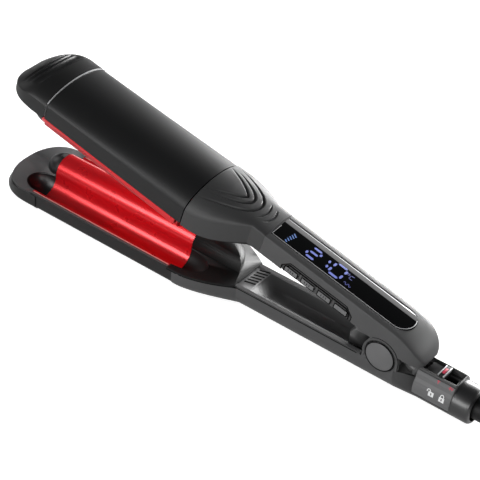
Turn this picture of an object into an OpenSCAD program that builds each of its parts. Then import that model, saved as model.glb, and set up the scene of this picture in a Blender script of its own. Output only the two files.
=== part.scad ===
// Hair waver: two hinged arms that close interlocking S-shaped heated plates on the hair.
// X runs from the tip (-X) to the cord (+X), Y across the arms, Z up from the resting face.
// Most modules are drawn with x = 0 at the hinge pin; the upper arm is drawn closed and then opened.

/* [Arms] */
// Height of the hinge pin above the resting face
hinge_h = 24; // [23.5:0.1:24.5]
// Angle between the arms when they stand open
open_angle = 13; // [9:0.5:13.5]
// Length of the handles from the hinge pin to the neck
handle_l = 104; // [100:1:115]
// Width of the handles
handle_w = 27.6; // [27.2:0.1:28.4]
// Length of the neck between handle and plates
neck_l = 43; // [40:1:50]
// Wall of the casings
wall = 2; // [1.8:0.1:2.2]

/* [Head] */
// Length of the heated plates
plate_l = 112; // [90:1:130]
// Length of the tip beyond the plates
tip_l = 31; // [29:1:36]
// Width of the head
head_w = 55.6; // [55.2:0.2:58]
// Height of the crown at the tip end of the upper plate
tip_crown_h = 43.4; // [42.8:0.2:45]
// Height of the crown at the neck
neck_crown_h = 48.8; // [48:0.2:50]
// Depth by which the bare panels lie behind the caps
panel_inset = 0.6; // [0.3:0.1:0.8]

/* [Plates] */
// Radius of the ridge and of the trough of the lower plate
wave_r = 10.3; // [9.8:0.1:10.4]
// Distance from the middle of the head to the wall between ridge and trough
wave_wall_y = 3; // [2:0.1:3.4]
// Sheet thickness of the plates
plate_t = 1.2; // [0.8:0.1:1.4]
// Height of the lower lip and plate flange
lip_h = 18.8; // [18.6:0.1:19]
// Gap between the closed plates
plate_gap = 0.9; // [0.7:0.1:1.2]

/* [Controls] */
// Width of the display lens
lens_w = 19.2; // [17:0.2:20]
// Length of one button
button_l = 10; // [8:0.2:10.4]
// Height of one button
button_h = 4.4; // [3.6:0.1:4.8]
// Distance between buttons
button_pitch = 12.4; // [12:0.1:13]
// Travel of a button
button_travel = 0.6; // [0.3:0.1:0.8]
// Travel of the lock slider
lock_travel = 8; // [5:0.5:8]

/* [Hinge and tail] */
// Radius of the hinge pin
pin_r = 2.5; // [2:0.1:3]
// Radius of the round hinge caps
cap_r = 10; // [9:0.1:10.4]
// Radius of the ears round the hinge caps
ear_r = 12; // [11.6:0.1:12.2]
// Thickness of each hinge ear
ear_t = 2.6; // [2.4:0.1:3]
// Radius of the swivel collar
collar_r = 11.6; // [11:0.1:12]
// Length of the tail from the hinge pin to the collar
tail_l = 48; // [46:1:56]
// Length of the swivel collar
collar_l = 12; // [10:0.5:16]
// Length of the strain relief outside the collar
relief_l = 44; // [36:1:56]

/* [Cord] */
// Diameter of the cord
cord_d = 6.8; // [6.8:0.1:6.8]

/* [Hidden] */
$fn = 96;

// Clearance between pieces that are fixed to each other
fit = 0.1;
// Clearance between pieces that move past each other
run = 0.4;
// Radial clearance of a pin or shaft that turns in its bore
turn = 0.05;
eps = 0.01;

x_neck = -handle_l;
x_plate1 = x_neck - neck_l;
x_plate0 = x_plate1 - plate_l;
x_tip = x_plate0 - tip_l;
x_lip = x_tip + 3;
x_tip_u = x_tip;
x_seam = x_plate0 + 4;
x_seam_neck = x_plate1 + 4;
x_lens = x_neck + 10;
x_butt = 24.6;
tail_reach = tail_l + collar_l + relief_l;
hinge_x = (-x_tip - tail_reach) / 2;

hw = head_w / 2;
gw = handle_w / 2;
panel_hw = hw - panel_inset;
nose_l = 25;
nose_e = 2.5;
lip_nose_l = 22;
lip_e = 2.3;
taper_l = 36;
taper_e = 1.7;
dome_n = 14;
keel_n = 14;
keel_over = 1.04;

// Lower arm heights
cover_t = 1.4;
shell_top = lip_h - cover_t;
head_side_h = 10.4;
head_e = 0.6;

// Upper arm heights, arms closed
band_h = lip_h + 5;
mid_u = lip_h + plate_gap;
side_h = 33.3;
handle_base_h = 31.5;
handle_side_h = 44.6;
handle_top_h = 46.8;

// Wave centres: the ridge and trough meet at the wall
ridge_y = wave_r - wave_wall_y;
trough_y = -wave_r - wave_wall_y;
wave_clear = 0.8;
flange_hw = hw - 2.2;
skirt_hw = hw - 0.5;
dome_l = 13;

// Hinge
ear_y = gw + 0.3;
knuckle_r = 8.6;
knuckle_hw = ear_y - ear_t - run;
collar_z = collar_r;

// Lens and buttons
lens_t = 1.8;
lens_end_x = 7.3;
button_x0 = -75.6;
button_z0 = handle_base_h + 0.9;
frame_x0 = -77.6;
frame_x1 = -25.4;
frame_top = 40.2;
board_z0 = handle_top_h - lens_t - 5.3;
switch_h = 0.6 * (board_z0 - button_z0);

// ---------- helpers ----------

// Stands a 2D shape drawn in (Y, Z) up and runs it along X from x0 to x1
module along_x(x0, x1) {
    translate([x0, 0, 0])
        rotate([90, 0, 90])
            linear_extrude(x1 - x0)
                children();
}

// Runs a 2D shape drawn in (X, Z) across Y from y0 to y1
module along_y(y0, y1) {
    translate([0, y1, 0])
        rotate([90, 0, 0])
            linear_extrude(y1 - y0)
                children();
}

// A box given by its two corners
module box(a, b) {
    translate(a)
        cube([b[0] - a[0], b[1] - a[1], b[2] - a[2]]);
}

// A closed skin through rings of points, all with the same count
module skin(rings) {
    n = len(rings[0]);
    m = len(rings);
    points = [for (r = rings) for (p = r) p];
    first = [for (j = [n - 1:-1:0]) j];
    last = [for (j = [0:n - 1]) (m - 1) * n + j];
    sides = [for (i = [0:m - 2]) for (j = [0:n - 1])
        [i * n + j, i * n + (j + 1) % n, (i + 1) * n + (j + 1) % n, (i + 1) * n + j]];
    polyhedron(points = points, faces = concat([first, last], sides), convexity = 10);
}

function ring(x, pts) = [for (p = pts) [x, p[0], p[1]]];
function flip(list) = [for (i = [len(list) - 1:-1:0]) list[i]];
function clamp01(v) = max(0, min(1, v));

// Half width of a round nose that starts at nose_x and is full after l
function nose_w(x, w, nose_x, l, e) =
    x < nose_x + l ? w * pow(1 - pow((nose_x + l - x) / l, e), 1 / e) : w;

// Half width of an arm at x: round nose, straight head, tapering neck, straight handle
function half_w(x, w, nose_x) =
    x < nose_x + nose_l ? nose_w(x, w, nose_x, nose_l, nose_e)
    : x < x_neck - taper_l ? w
    : x < x_neck ? w - (w - gw) * pow((x - x_neck + taper_l) / taper_l, taper_e)
    : gw;

// Share of the way through the neck, 0 at the head and 1 at the handle
function neck_t(x) = clamp01((x - x_neck + taper_l) / taper_l);

// Share of the way through the nose, 0 at the front and 1 where the head is full
function nose_t(x, nose_x) = clamp01((x - nose_x) / nose_l);

// Stations along a nose, closer together towards the front
function nose_stations(nose_x, count) =
    [for (i = [0:count]) nose_x + nose_l * (1 - cos(10 + 80 * i / count))];

// Dome from -w to w that rises from side to crown
function dome(w, side, crown, e) =
    [for (i = [0:dome_n]) let (a = 180 * i / dome_n) [-w * cos(a), side + (crown - side) * pow(sin(a), 2 * e)]];

// Keel from w to -w that falls from side to bottom, cut flat where it rests
function keel(w, side, bottom, e) =
    [for (i = [0:keel_n]) let (a = 180 * i / keel_n)
        [w * cos(a), max(bottom, side - (side - bottom) * keel_over * pow(sin(a), 2 * e))]];

// Solid and hollow sections of the upper and lower arm
function arch(w, base, side, crown, e) = concat([[-w, base]], dome(w, side, crown, e), [[w, base]]);
function arch_shell(w, base, side, crown, e, t) =
    concat(arch(w, base, side, crown, e), flip(arch(w - t, base, side, crown - t, e)));
function hull_section(w, top, side, bottom, e) = concat([[-w, top], [w, top]], keel(w, side, bottom, e));
function keel_shell(w, top, side, e, t) =
    concat([[-w, top], [-w + t, top]],
        flip([for (p = keel(w - t, side, 0, e)) [p[0], max(t, p[1] + t / 2)]]),
        [[w - t, top], [w, top]], keel(w, side, 0, e));

// Profile values of the upper arm, closed
function u_base(x) = band_h + (handle_base_h - band_h) * pow(clamp01((x - x_neck + 26) / 26), 1.4);
function u_side(x) =
    x < x_tip_u + nose_l ? side_h - 7.2 * pow(1 - nose_t(x, x_tip_u), 1.6)
    : side_h + 1.5 * clamp01((x - x_plate0) / plate_l) + (handle_side_h - side_h - 1.5) * pow(neck_t(x), 1.5);
function u_crown_line(x) =
    x < x_plate1 ? tip_crown_h + (neck_crown_h - tip_crown_h) * (x - x_plate0) / plate_l
    : lookup(x, [[x_plate1, neck_crown_h], [x_neck - 26, neck_crown_h + 0.7], [x_neck - 14, neck_crown_h + 0.2],
        [x_neck, neck_crown_h - 0.9], [x_lens, handle_top_h + 0.4]]);
function u_crown(x) =
    u_crown_line(x) - (u_crown_line(x) - side_h + 7.6) * pow(1 - nose_t(x, x_tip_u), 2);
function u_exp(x) = 0.74 - 0.14 * clamp01((x - x_plate0) / plate_l) - 0.25 * neck_t(x);

function u_solid(x, w) = ring(x, arch(w, u_base(x), u_side(x), u_crown(x), u_exp(x)));
function u_shell(x, w) = ring(x, arch_shell(w, u_base(x), u_side(x), u_crown(x), u_exp(x), wall));

// Profile values of the lower arm
function l_side(x) = head_side_h + (gw - head_side_h) * neck_t(x);
function l_exp(x) = head_e - (head_e - 0.5) * neck_t(x);

// Plan outline of an arm between x0 and x1
function outline(x0, x1, w, nose_x, count) =
    let (xs = [for (i = [0:count]) x0 + (x1 - x0) * i / count])
    concat([for (x = xs) [x, -half_w(x, w, nose_x)]], [for (x = flip(xs)) [x, half_w(x, w, nose_x)]]);
function nose_outline(nose_x, x1, w) =
    let (xs = concat([for (i = [0:15]) nose_x + lip_nose_l * (1 - cos(6 + 84 * i / 15))], [x1]))
    concat([for (x = xs) [x, -nose_w(x, w, nose_x, lip_nose_l, lip_e)]],
        [for (x = flip(xs)) [x, nose_w(x, w, nose_x, lip_nose_l, lip_e)]]);

// Puts a lower arm piece, drawn from the hinge, in the part's frame
module lower() {
    translate([hinge_x, 0, 0])
        children();
}

// Puts an upper arm piece, drawn closed, at its open rest angle
module upper() {
    translate([hinge_x, 0, hinge_h])
        rotate([0, open_angle, 0])
            translate([0, 0, -hinge_h])
                children();
}

// Half an egg along -X from x0: radius r at its mouth and length l, about an axis at (y, z)
module egg(x0, y, z, r, l) {
    translate([x0, y, z])
        rotate([0, -90, 0])
            rotate_extrude()
                polygon(concat([[0, 0]], [for (i = [0:12]) [r * cos(90 * i / 12), l * sin(90 * i / 12)]]));
}

// The same half egg along +X
module egg_on(x0, y, z, r, l) {
    translate([x0, y, z])
        rotate([0, 90, 0])
            rotate_extrude()
                polygon(concat([[0, 0]], [for (i = [0:12]) [r * cos(90 * i / 12), l * sin(90 * i / 12)]]));
}

// Wave profile in (Y, Z) about mid height: ridge radius and trough radius to the outer faces
module half_ring(y, r_in, r_out, up) {
    translate([y, 0])
        intersection() {
            difference() {
                circle(r_out);
                circle(r_in);
            }
            translate([-r_out, up ? 0 : -r_out])
                square([2 * r_out, r_out]);
        }
}

// ---------- lower arm ----------

module lower_tip_cap() {
    xs = concat(nose_stations(x_tip, 9), [x_seam]);
    // shoulder between the lip and the widest line of the nose
    function reach(x) = x < x_lip + 0.6 ? half_w(x, hw, x_tip) - 2
        : max(0.3, half_w(x, hw, x_tip) - nose_w(x, hw, x_lip, lip_nose_l, lip_e) - 0.4);
    function drop(x) = min(5, 0.3 + 1.4 * (reach(x) - 0.3));
    function top(x) = shell_top - 3.6 * pow(clamp01((x_lip + 0.6 - x) / 3.6), 1.5);
    function side(x) = head_side_h + 1 - nose_t(x, x_tip);
    color("#2a2a2c")
        lower()
            difference() {
                skin([for (x = xs)
                    let (w = half_w(x, hw, x_tip), c = min(reach(x), w - 0.5))
                    ring(x, concat([[-w, max(side(x) + 1, top(x) - drop(x))], [-w + c, top(x)], [w - c, top(x)],
                        [w, max(side(x) + 1, top(x) - drop(x))]],
                        keel(w, side(x), 7 * pow(1 - nose_t(x, x_tip), 3), head_e)))]);
                egg(x_plate0, trough_y, lip_h, wave_r + plate_t + 0.4, dome_l + plate_t + 0.4);
                // room for the plate and its carrier behind the seam
                box([x_plate0, -panel_hw + wall, wall + 2], [x_seam + 1, panel_hw - wall, lip_h + 1]);
            }
}

module lower_head_panel() {
    color("#111113")
        lower()
            along_x(x_seam + fit, x_seam_neck - fit)
                polygon(keel_shell(panel_hw, shell_top, head_side_h, head_e, wall));
}

module lower_handle_shell() {
    xs = concat([x_seam_neck], [for (i = [0:9]) x_neck - taper_l * (1 - i / 9)], [10]);
    color("#2c2c2e")
        lower()
            difference() {
                skin([for (x = xs) ring(x,
                    keel_shell(half_w(x, hw, x_tip), shell_top, l_side(x), l_exp(x), wall))]);
                cap_recesses();
            }
}

// Recesses for the round hinge caps, outside of the handle
module cap_recesses() {
    for (s = [-1, 1])
        translate([0, s * (ear_y + 4), hinge_h])
            rotate([90, 0, 0])
                cylinder(r = cap_r + run, h = 8 + 2 * 1.3, center = true);
}

// Lip round the tip with the dome that closes the ridge and the bowl that closes the trough
module lower_inner_frame() {
    color("#161618")
        lower() {
            difference() {
                union() {
                    translate([0, 0, shell_top + fit])
                        linear_extrude(cover_t - fit)
                            polygon(nose_outline(x_lip, x_plate0 - fit, hw));
                    intersection() {
                        egg(x_plate0 - fit, ridge_y, lip_h, wave_r, dome_l);
                        box([x_lip, ridge_y - wave_r, lip_h - 1], [x_plate0, ridge_y + wave_r, lip_h + wave_r + 1]);
                    }
                    intersection() {
                        egg(x_plate0 - fit, trough_y, lip_h, wave_r + plate_t, dome_l + plate_t);
                        box([x_tip, trough_y - 2 * wave_r, 0], [x_plate0, trough_y + 2 * wave_r, lip_h - 0.5]);
                    }
                }
                egg(x_plate0 + eps, trough_y, lip_h, wave_r, dome_l);
            }
            // rails beside the plate
            for (s = [-1, 1])
                box([x_plate0 - fit, s > 0 ? flange_hw + fit : -panel_hw, shell_top + fit],
                    [x_plate1 + fit, s > 0 ? panel_hw : -flange_hw - fit, lip_h]);
        }
}

// Neck top: the ridge ends in a round brow and the trough closes in a bowl
module lower_neck_fairing() {
    brow_x = x_neck - 26;
    brow_y = -4;
    brow_r = 20;
    crest = ridge_y - brow_y;
    color("#0e0e10")
        lower()
            difference() {
                union() {
                    translate([0, 0, shell_top + fit])
                        linear_extrude(cover_t - fit)
                            polygon(outline(x_plate1 + 2 * fit, x_neck - 1, hw, x_tip, 10));
                    intersection() {
                        along_x(x_plate1 + 3 * fit, x_neck - 1.2)
                            translate([ridge_y, lip_h])
                                circle(wave_r);
                        union() {
                            box([x_plate1, -hw, lip_h - 1], [brow_x, hw, lip_h + 2 * wave_r]);
                            translate([brow_x, brow_y, lip_h])
                                rotate_extrude()
                                    polygon(concat([[0, -1], [brow_r, -1]],
                                        [for (i = [0:6])
                                            let (r = brow_r + (crest - brow_r) * i / 6)
                                            [r, sqrt(pow(wave_r + 0.2, 2) - pow(r - crest, 2))]],
                                        [[0, wave_r + 0.2]]));
                        }
                    }
                    intersection() {
                        egg_on(x_plate1 + 4 * fit, trough_y, lip_h, wave_r + plate_t, 20 + plate_t);
                        box([x_plate1, trough_y - 2 * wave_r, 0], [x_neck, trough_y + 2 * wave_r, lip_h - 0.5]);
                    }
                }
                egg_on(x_plate1 - eps, trough_y, lip_h, wave_r - 0.2, 20);
            }
}

// Concave inner face of the lower handle, with the row of ion outlets and the closing stop
module lower_handle_cover() {
    dish_w = gw - wall - 0.4;
    dish_d = 6.2;
    dish_r = (dish_w * dish_w + dish_d * dish_d) / (2 * dish_d);
    dish_z = lip_h - dish_d + dish_r;
    color("#1c1c1e")
        lower()
            difference() {
                union() {
                    along_x(x_neck - 1 + fit, 10)
                        difference() {
                            union() {
                                translate([-gw, shell_top + fit])
                                    square([2 * gw, cover_t - fit]);
                                intersection() {
                                    translate([0, dish_z])
                                        circle(dish_r + cover_t);
                                    translate([-dish_w, 0])
                                        square([2 * dish_w, lip_h - eps]);
                                }
                            }
                            translate([0, dish_z])
                                circle(dish_r);
                        }
                    // ramp that carries the outlets
                    along_y(-dish_w + 0.6, dish_w - 0.6)
                        polygon([[x_neck - 1 + fit, shell_top - 4], [x_neck - 1 + fit, lip_h - 0.5],
                            [x_neck + 8.5, lip_h - 0.9], [x_neck + 20, lip_h - dish_d - 0.6],
                            [x_neck + 16, lip_h - dish_d - 1]]);
                    // closing stop in front of the hinge
                    along_y(-5, 5)
                        translate([-26.5, lip_h - dish_d - 0.7])
                            union() {
                                square([11.5, 10]);
                                translate([3, 0])
                                    square([8.5, 13.4]);
                                translate([3, 10.4])
                                    circle(3);
                            }
                }
                for (i = [0:5])
                    translate([x_neck + 0.7 + 0.13 * i, -6.6 + 2.94 * i, 0])
                        rotate([0, 0, 19])
                            cube([6.8, 1.1, 2 * lip_h]);
                // room for the hinge yoke
                box([-13, -gw - 1, 0], [11, gw + 1, lip_h + 1]);
            }
}

module lower_wave_plate() {
    color("#d1101a")
        lower()
            along_x(x_plate0, x_plate1)
                translate([0, lip_h]) {
                    half_ring(ridge_y, wave_r - plate_t, wave_r, true);
                    half_ring(trough_y, wave_r, wave_r + plate_t, false);
                    translate([-flange_hw, -plate_t])
                        square([flange_hw + trough_y - wave_r, plate_t]);
                    translate([ridge_y + wave_r - plate_t, -plate_t])
                        square([flange_hw - ridge_y - wave_r + plate_t, plate_t]);
                }
}

module lower_heater_carrier() {
    x0 = x_plate0 + 8;
    x1 = x_plate1 - 8;
    floor_z = wall + 0.9;
    tray_w = 13.4;
    color("#8c8a80")
        lower()
            difference() {
                union() {
                    box([x0, -tray_w, floor_z], [x1, tray_w, floor_z + 2.4]);
                    box([x0, ridge_y - 6, floor_z], [x1, ridge_y + 6, lip_h + 2.6]);
                }
                for (x = [x0 + 5, x1 - 5])
                    translate([x, ridge_y, 0])
                        cylinder(r = 1.3, h = 60);
            }
}

module lower_heater() {
    color("#d8d2c2")
        lower()
            box([x_plate0 + 20, ridge_y - 5, lip_h + 2.7], [x_plate1 - 20, ridge_y + 5, lip_h + 7.2]);
}

module lower_sensor() {
    color("#b87333")
        lower()
            box([x_plate0 + 16, ridge_y - 1.5, lip_h + 2.7], [x_plate0 + 19.6, ridge_y + 1.5, lip_h + 5]);
}

// Screws that hold both heater carriers and run down into the casing
module casing_screws() {
    color("#b8b8bc")
        lower()
            for (x = [x_plate0 + 13, x_plate1 - 13])
                translate([x, ridge_y, wall + 0.4]) {
                    cylinder(r = 1.25, h = lip_h + 2.2 - wall);
                    translate([0, 0, lip_h + 2.25 - wall])
                        cylinder(r = 2.4, h = 1.6);
                }
}

module ion_generator() {
    color("#3b4a6b")
        lower()
            box([x_neck + 4, -7, 4.2], [x_neck + 34, 7, 11]);
}

// ---------- hinge ----------

module hinge_yoke() {
    color("#2c2c2e")
        lower()
            difference() {
                union() {
                    for (s = [-1, 1])
                        translate([0, s > 0 ? ear_y : -ear_y + ear_t, 0])
                            rotate([90, 0, 0])
                                linear_extrude(ear_t) {
                                    translate([0, hinge_h])
                                        circle(ear_r);
                                    translate([-ear_r, shell_top + fit])
                                        square([2 * ear_r, hinge_h - shell_top]);
                                }
                    // saddle between the ears
                    box([-ear_r, -ear_y, shell_top + fit - 4], [10, ear_y, shell_top + 1.4]);
                }
                // inside the handle walls the saddle is narrower
                for (s = [-1, 1])
                    box([-40, s > 0 ? gw - wall - fit : -40, 0], [40, s > 0 ? 40 : -gw + wall + fit, shell_top + fit]);
                box([-40, -40, 0], [40, 40, shell_top - 3]);
                translate([0, 0, hinge_h])
                    rotate([90, 0, 0])
                        cylinder(r = pin_r + turn, h = 60, center = true);
                cap_recesses();
                // end face of the tail
                box([10, -40, 0], [40, 40, lip_h + fit]);
                // room for the knuckle
                translate([0, 0, hinge_h])
                    rotate([90, 0, 0])
                        cylinder(r = knuckle_r + run, h = 2 * knuckle_hw + 2 * run, center = true);
            }
}

module hinge_pin() {
    color("#c8c8cc")
        lower()
            translate([0, 0, hinge_h])
                rotate([90, 0, 0])
                    cylinder(r = pin_r, h = 2 * (ear_y - 1.3), center = true);
}

module hinge_cap(s) {
    color("#343436")
        lower()
            translate([0, s * (ear_y - 1.3 + fit), hinge_h])
                rotate([-90 * s, 0, 0]) {
                    cylinder(r = cap_r, h = 1.2);
                    translate([0, 0, 1.2])
                        cylinder(r1 = cap_r, r2 = cap_r - 0.5, h = 0.4);
                }
}

module hinge_cap_near() {
    hinge_cap(-1);
}

module hinge_cap_far() {
    hinge_cap(1);
}

// Torsion spring wound round the pin, in the slot of the knuckle
module hinge_spring() {
    wire = 0.7;
    spring_r = pin_r + 0.2 + wire;
    turns = 4;
    color("#9a9aa0")
        lower()
            translate([0, 0, hinge_h])
                rotate([90, 0, 0])
                    rotate_extrude()
                        polygon(concat(
                            [for (i = [0:turns - 1]) for (a = [-60:30:60])
                                [spring_r + wire * cos(a), (i - (turns - 1) / 2) * 1.8 * wire + wire * sin(a)]],
                            [for (i = [turns - 1:-1:0]) for (a = [60:-30:-60])
                                [spring_r - wire * cos(a), (i - (turns - 1) / 2) * 1.8 * wire + wire * sin(a)]]));
}

// ---------- tail ----------

tail_top = 24.2;
track_x0 = 20.6;
track_x1 = tail_l - 1.4;
track_hw = 5.4;
deck_x0 = 19.6;
slider_l = 12;
slider_x0 = track_x1 - lock_travel - slider_l - 0.4;
panel_x0 = 22.4;

// Flank of the tail from below the middle up to the deck, grown by g
function flank(a0, g) = concat(
    [for (i = [0:5]) let (a = a0 + (38 - a0) * i / 5)
        [(collar_r + g) * cos(a), collar_z + (collar_r + g) * sin(a)]],
    [[8.5 + g, tail_top - 3 + 0.5 * g], [7.2 + g, tail_top - 1.4 + 0.7 * g]]);
function near(pts) = [for (p = pts) [-p[0], p[1]]];

module tail_housing() {
    color("#1e1e20")
        lower()
            difference() {
                union() {
                    // run-in from the handle
                    hull() {
                        along_x(10 + fit, 10.4)
                            polygon(hull_section(gw, lip_h, gw, 0, 0.5));
                        along_x(24, 24.4)
                            intersection() {
                                translate([0, collar_z])
                                    circle(collar_r);
                                translate([-20, 0])
                                    square([40, lip_h]);
                            }
                    }
                    along_x(24, tail_l)
                        translate([0, collar_z])
                            circle(collar_r);
                    // raised deck that carries the lock track
                    intersection() {
                        along_x(deck_x0, tail_l - fit)
                            polygon(concat(flank(-10, -0.05), [[6.4, tail_top], [-6.4, tail_top]],
                                flip(near(flank(-10, -0.05)))));
                        along_y(-13, 13)
                            polygon([[deck_x0 - 4, collar_z - 4], [tail_l, collar_z - 4], [tail_l, tail_top - 1],
                                [tail_l - 1, tail_top + 1], [deck_x0 + 2, tail_top + 1], [deck_x0, tail_top - 3]]);
                    }
                }
                // track of the lock slider
                box([track_x0, -track_hw, tail_top - 3.4], [track_x1, track_hw, tail_top + 1]);
                // channel of the latch bar
                box([8, -3.4, collar_z + 4.6], [track_x1 - 1, 3.4, tail_top - 1]);
                // seat of the swivel flange
                translate([tail_l - 8, 0, collar_z])
                    rotate([0, 90, 0])
                        cylinder(r = 7.4, h = 10);
                // recess of the lock panel on the near side
                along_x(panel_x0, tail_l - 0.4)
                    polygon(near(concat(flank(-21, -1.1), flip(flank(-21, 3)))));
            }
}

// Panel on the near side that carries the open and locked marks
module lock_panel() {
    color("#18181a")
        lower()
            along_x(panel_x0 + fit, tail_l - 0.4 - fit)
                polygon(near(concat(flank(-20, -1), flip(flank(-20, 0.15)))));
}

module lock_slider() {
    x0 = slider_x0;
    color("#202022")
        lower() {
            box([x0, -track_hw + 0.3, tail_top - 3.2], [x0 + slider_l, track_hw - 0.3, tail_top - 0.6]);
            box([x0 + 8.4, -track_hw + 0.3, tail_top - 0.7], [x0 + slider_l - 1, track_hw - 0.3, tail_top + 0.5]);
        }
}

// Bright cross bars of the slider
module slider_bar() {
    x0 = slider_x0;
    color("#c9c9cd")
        lower()
            for (x = [x0 + 7.6, x0 + slider_l - 1 + 0.02])
                box([x, -track_hw + 0.4, tail_top - 0.58], [x + 0.78, track_hw - 0.4, tail_top + 0.7]);
}

module slider_pointer() {
    x0 = slider_x0;
    color("#c01820")
        lower()
            box([x0 + 8.8, -2.4, tail_top + 0.52], [x0 + 10.6, 2.4, tail_top + 0.9]);
}

// Bar under the slider whose hook holds the closed arm
module latch_bar() {
    x0 = slider_x0;
    color("#77777c")
        lower() {
            box([10.5, -2.6, collar_z + 5], [x0 + 10, 2.6, collar_z + 7]);
            box([x0 + 3, -2.2, collar_z + 7], [x0 + 9, 2.2, tail_top - 3.25]);
        }
}

module swivel_collar() {
    color("#0c0c0e")
        lower()
            translate([tail_l + fit, 0, collar_z])
                rotate([0, 90, 0])
                    rotate_extrude()
                        polygon(concat([[9.6, 0], [collar_r, 0]],
                            [for (i = [0:6]) [collar_r - 2.4 + 2.4 * cos(15 * i), collar_l - 2.4 + 2.4 * sin(15 * i)]],
                            [[9.4, collar_l - 0.6], [9.4, collar_l - 2.4], [9.6, collar_l - 2.6]]));
}

module swivel_bush() {
    color("#55555a")
        lower()
            translate([tail_l + fit, 0, collar_z])
                rotate([0, 90, 0])
                    difference() {
                        cylinder(r = 9.58, h = 6.4);
                        translate([0, 0, -1])
                            cylinder(r = 5 + turn, h = 10);
                    }
}

// Ribbed swivel strain relief with a flange behind the bush
module cord_relief() {
    ribs = 7;
    head_x = 6.7;
    l = collar_l + relief_l;
    function taper_r(x) = 8.4 - (8.4 - 4.6) * pow(clamp01((x - 15) / (l - 15)), 0.8);
    color("#0f0f11")
        lower()
            translate([tail_l, 0, collar_z])
                rotate([0, 90, 0])
                    rotate_extrude()
                        polygon(concat(
                            [[0, -3], [6.6, -3], [6.6, -0.1], [5, -0.1], [5, head_x], [8.6, head_x], [9, head_x + 1],
                             [9, collar_l + 1], [8.4, collar_l + 3]],
                            [for (i = [0:ribs - 1]) for (k = [0:3])
                                let (x = collar_l + 4 + (relief_l - 9) * (i + [0, 0.12, 0.6, 0.72][k]) / ribs)
                                [taper_r(x) - ((k == 1 || k == 2) ? 0 : 0.9), x]],
                            [[4.2, l - 3], [4, l], [0, l]]));
}

// ---------- upper arm ----------

module upper_tip_cap() {
    xs = concat(nose_stations(x_tip_u, 9), [x_seam]);
    color("#2a2a2c")
        upper()
            difference() {
                skin([for (x = xs) u_solid(x, half_w(x, hw, x_tip_u))]);
                egg(x_plate0, ridge_y, mid_u, wave_r + wave_clear + plate_t + 0.4, dome_l + 2.4);
                box([x_plate0, -panel_hw + wall, 0], [x_seam + 1, panel_hw - wall, side_h + 1]);
                // grip grooves across the nose: place, width and depth
                for (g = [[12.7, 1.8, 0.6], [16.6, 1.6, 0.8], [21.4, 3.6, 0.9]])
                    intersection() {
                        along_x(x_tip_u + g[0] - g[1] / 2, x_tip_u + g[0] + g[1] / 2)
                            difference() {
                                polygon(arch(hw + 1, mid_u, side_h, handle_top_h + 5, 0.5));
                                polygon(arch(hw, mid_u - 1, u_side(x_tip_u + g[0]), u_crown(x_tip_u + g[0]) - g[2],
                                    u_exp(x_tip_u + g[0])));
                            }
                        box([x_tip_u, -22, side_h], [x_seam, 22, 80]);
                    }
            }
}

// Bright line between the tip cap and the panel
module upper_cap_trim() {
    color("#b9b9bd")
        upper()
            along_x(x_seam + fit, x_seam + 0.7)
                difference() {
                    polygon(arch(hw, band_h + 2, u_side(x_seam), u_crown(x_seam), u_exp(x_seam)));
                    polygon(arch(hw - 1.2, band_h + 1, u_side(x_seam), u_crown(x_seam) - 1.2, u_exp(x_seam)));
                }
}

module upper_head_panel() {
    xs = [x_seam + 0.8, x_seam_neck - fit];
    color("#101012")
        upper()
            skin([for (x = xs) ring(x, arch_shell(panel_hw, band_h, u_side(x), u_crown(x) - panel_inset, u_exp(x), wall))]);
}

module upper_neck_cover() {
    xs = concat([x_seam_neck], [for (i = [0:9]) x_neck - taper_l * (1 - i / 9)], [x_lens]);
    color("#2c2c2e")
        upper()
            skin([for (x = xs) u_shell(x, half_w(x, hw, x_tip_u))]);
}

lens_x0 = x_lens + 1;

// Plan of the lens: straight at the neck, round at the butt
module lens_plan(grow) {
    r = lens_w / 2;
    translate([lens_x0 - grow, -r - grow])
        square([lens_end_x - r - lens_x0 + grow, 2 * r + 2 * grow]);
    translate([lens_end_x - r, 0])
        circle(r + grow);
}

// Rounded butt of the upper handle at x
function butt_w(x) = gw * pow(1 - pow(clamp01((x - 4) / (x_butt - 3.4)), 3), 1 / 3);
function butt_top(x) = handle_top_h - 19 + 19 * sqrt(1 - pow(max(0, x) / (x_butt + 1.6), 2));
function butt_side(x) = butt_top(x) - (handle_top_h - handle_side_h) * butt_w(x) / gw;
function butt_base(x) = handle_base_h + 2 - 2 * sqrt(1 - pow(clamp01((x - 20) / (x_butt - 19.9)), 2));

module upper_handle_shell() {
    e = 0.35;
    xs = [x_lens + fit, 0, 4, 8, 11, 14, 16.5, 18.5, 20.2, 21.7, 22.9, 23.8, 24.35, x_butt];
    color("#2c2c2e")
        upper()
            difference() {
                skin([for (x = xs) ring(x, arch(butt_w(x), butt_base(x), butt_side(x), butt_top(x), e))]);
                along_x(x_lens - 1, 8)
                    polygon(arch(gw - wall, handle_base_h - 1, handle_side_h - 0.4, handle_top_h - wall, e));
                // seat and window of the lens
                translate([0, 0, handle_top_h - lens_t])
                    linear_extrude(10)
                        lens_plan(fit);
                translate([0, 0, handle_top_h - 8])
                    linear_extrude(10)
                        lens_plan(-1.2);
                // arcs round the hinge ears
                for (s = [-1, 1])
                    translate([0, s * (ear_y + 1), hinge_h])
                        rotate([90, 0, 0])
                            cylinder(r = ear_r + run, h = 2 * (ear_t + 1.4), center = true);
                // window of the buttons in the near wall
                along_y(-20, -gw + wall + 1)
                    frame_outline(0);
            }
}

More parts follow.
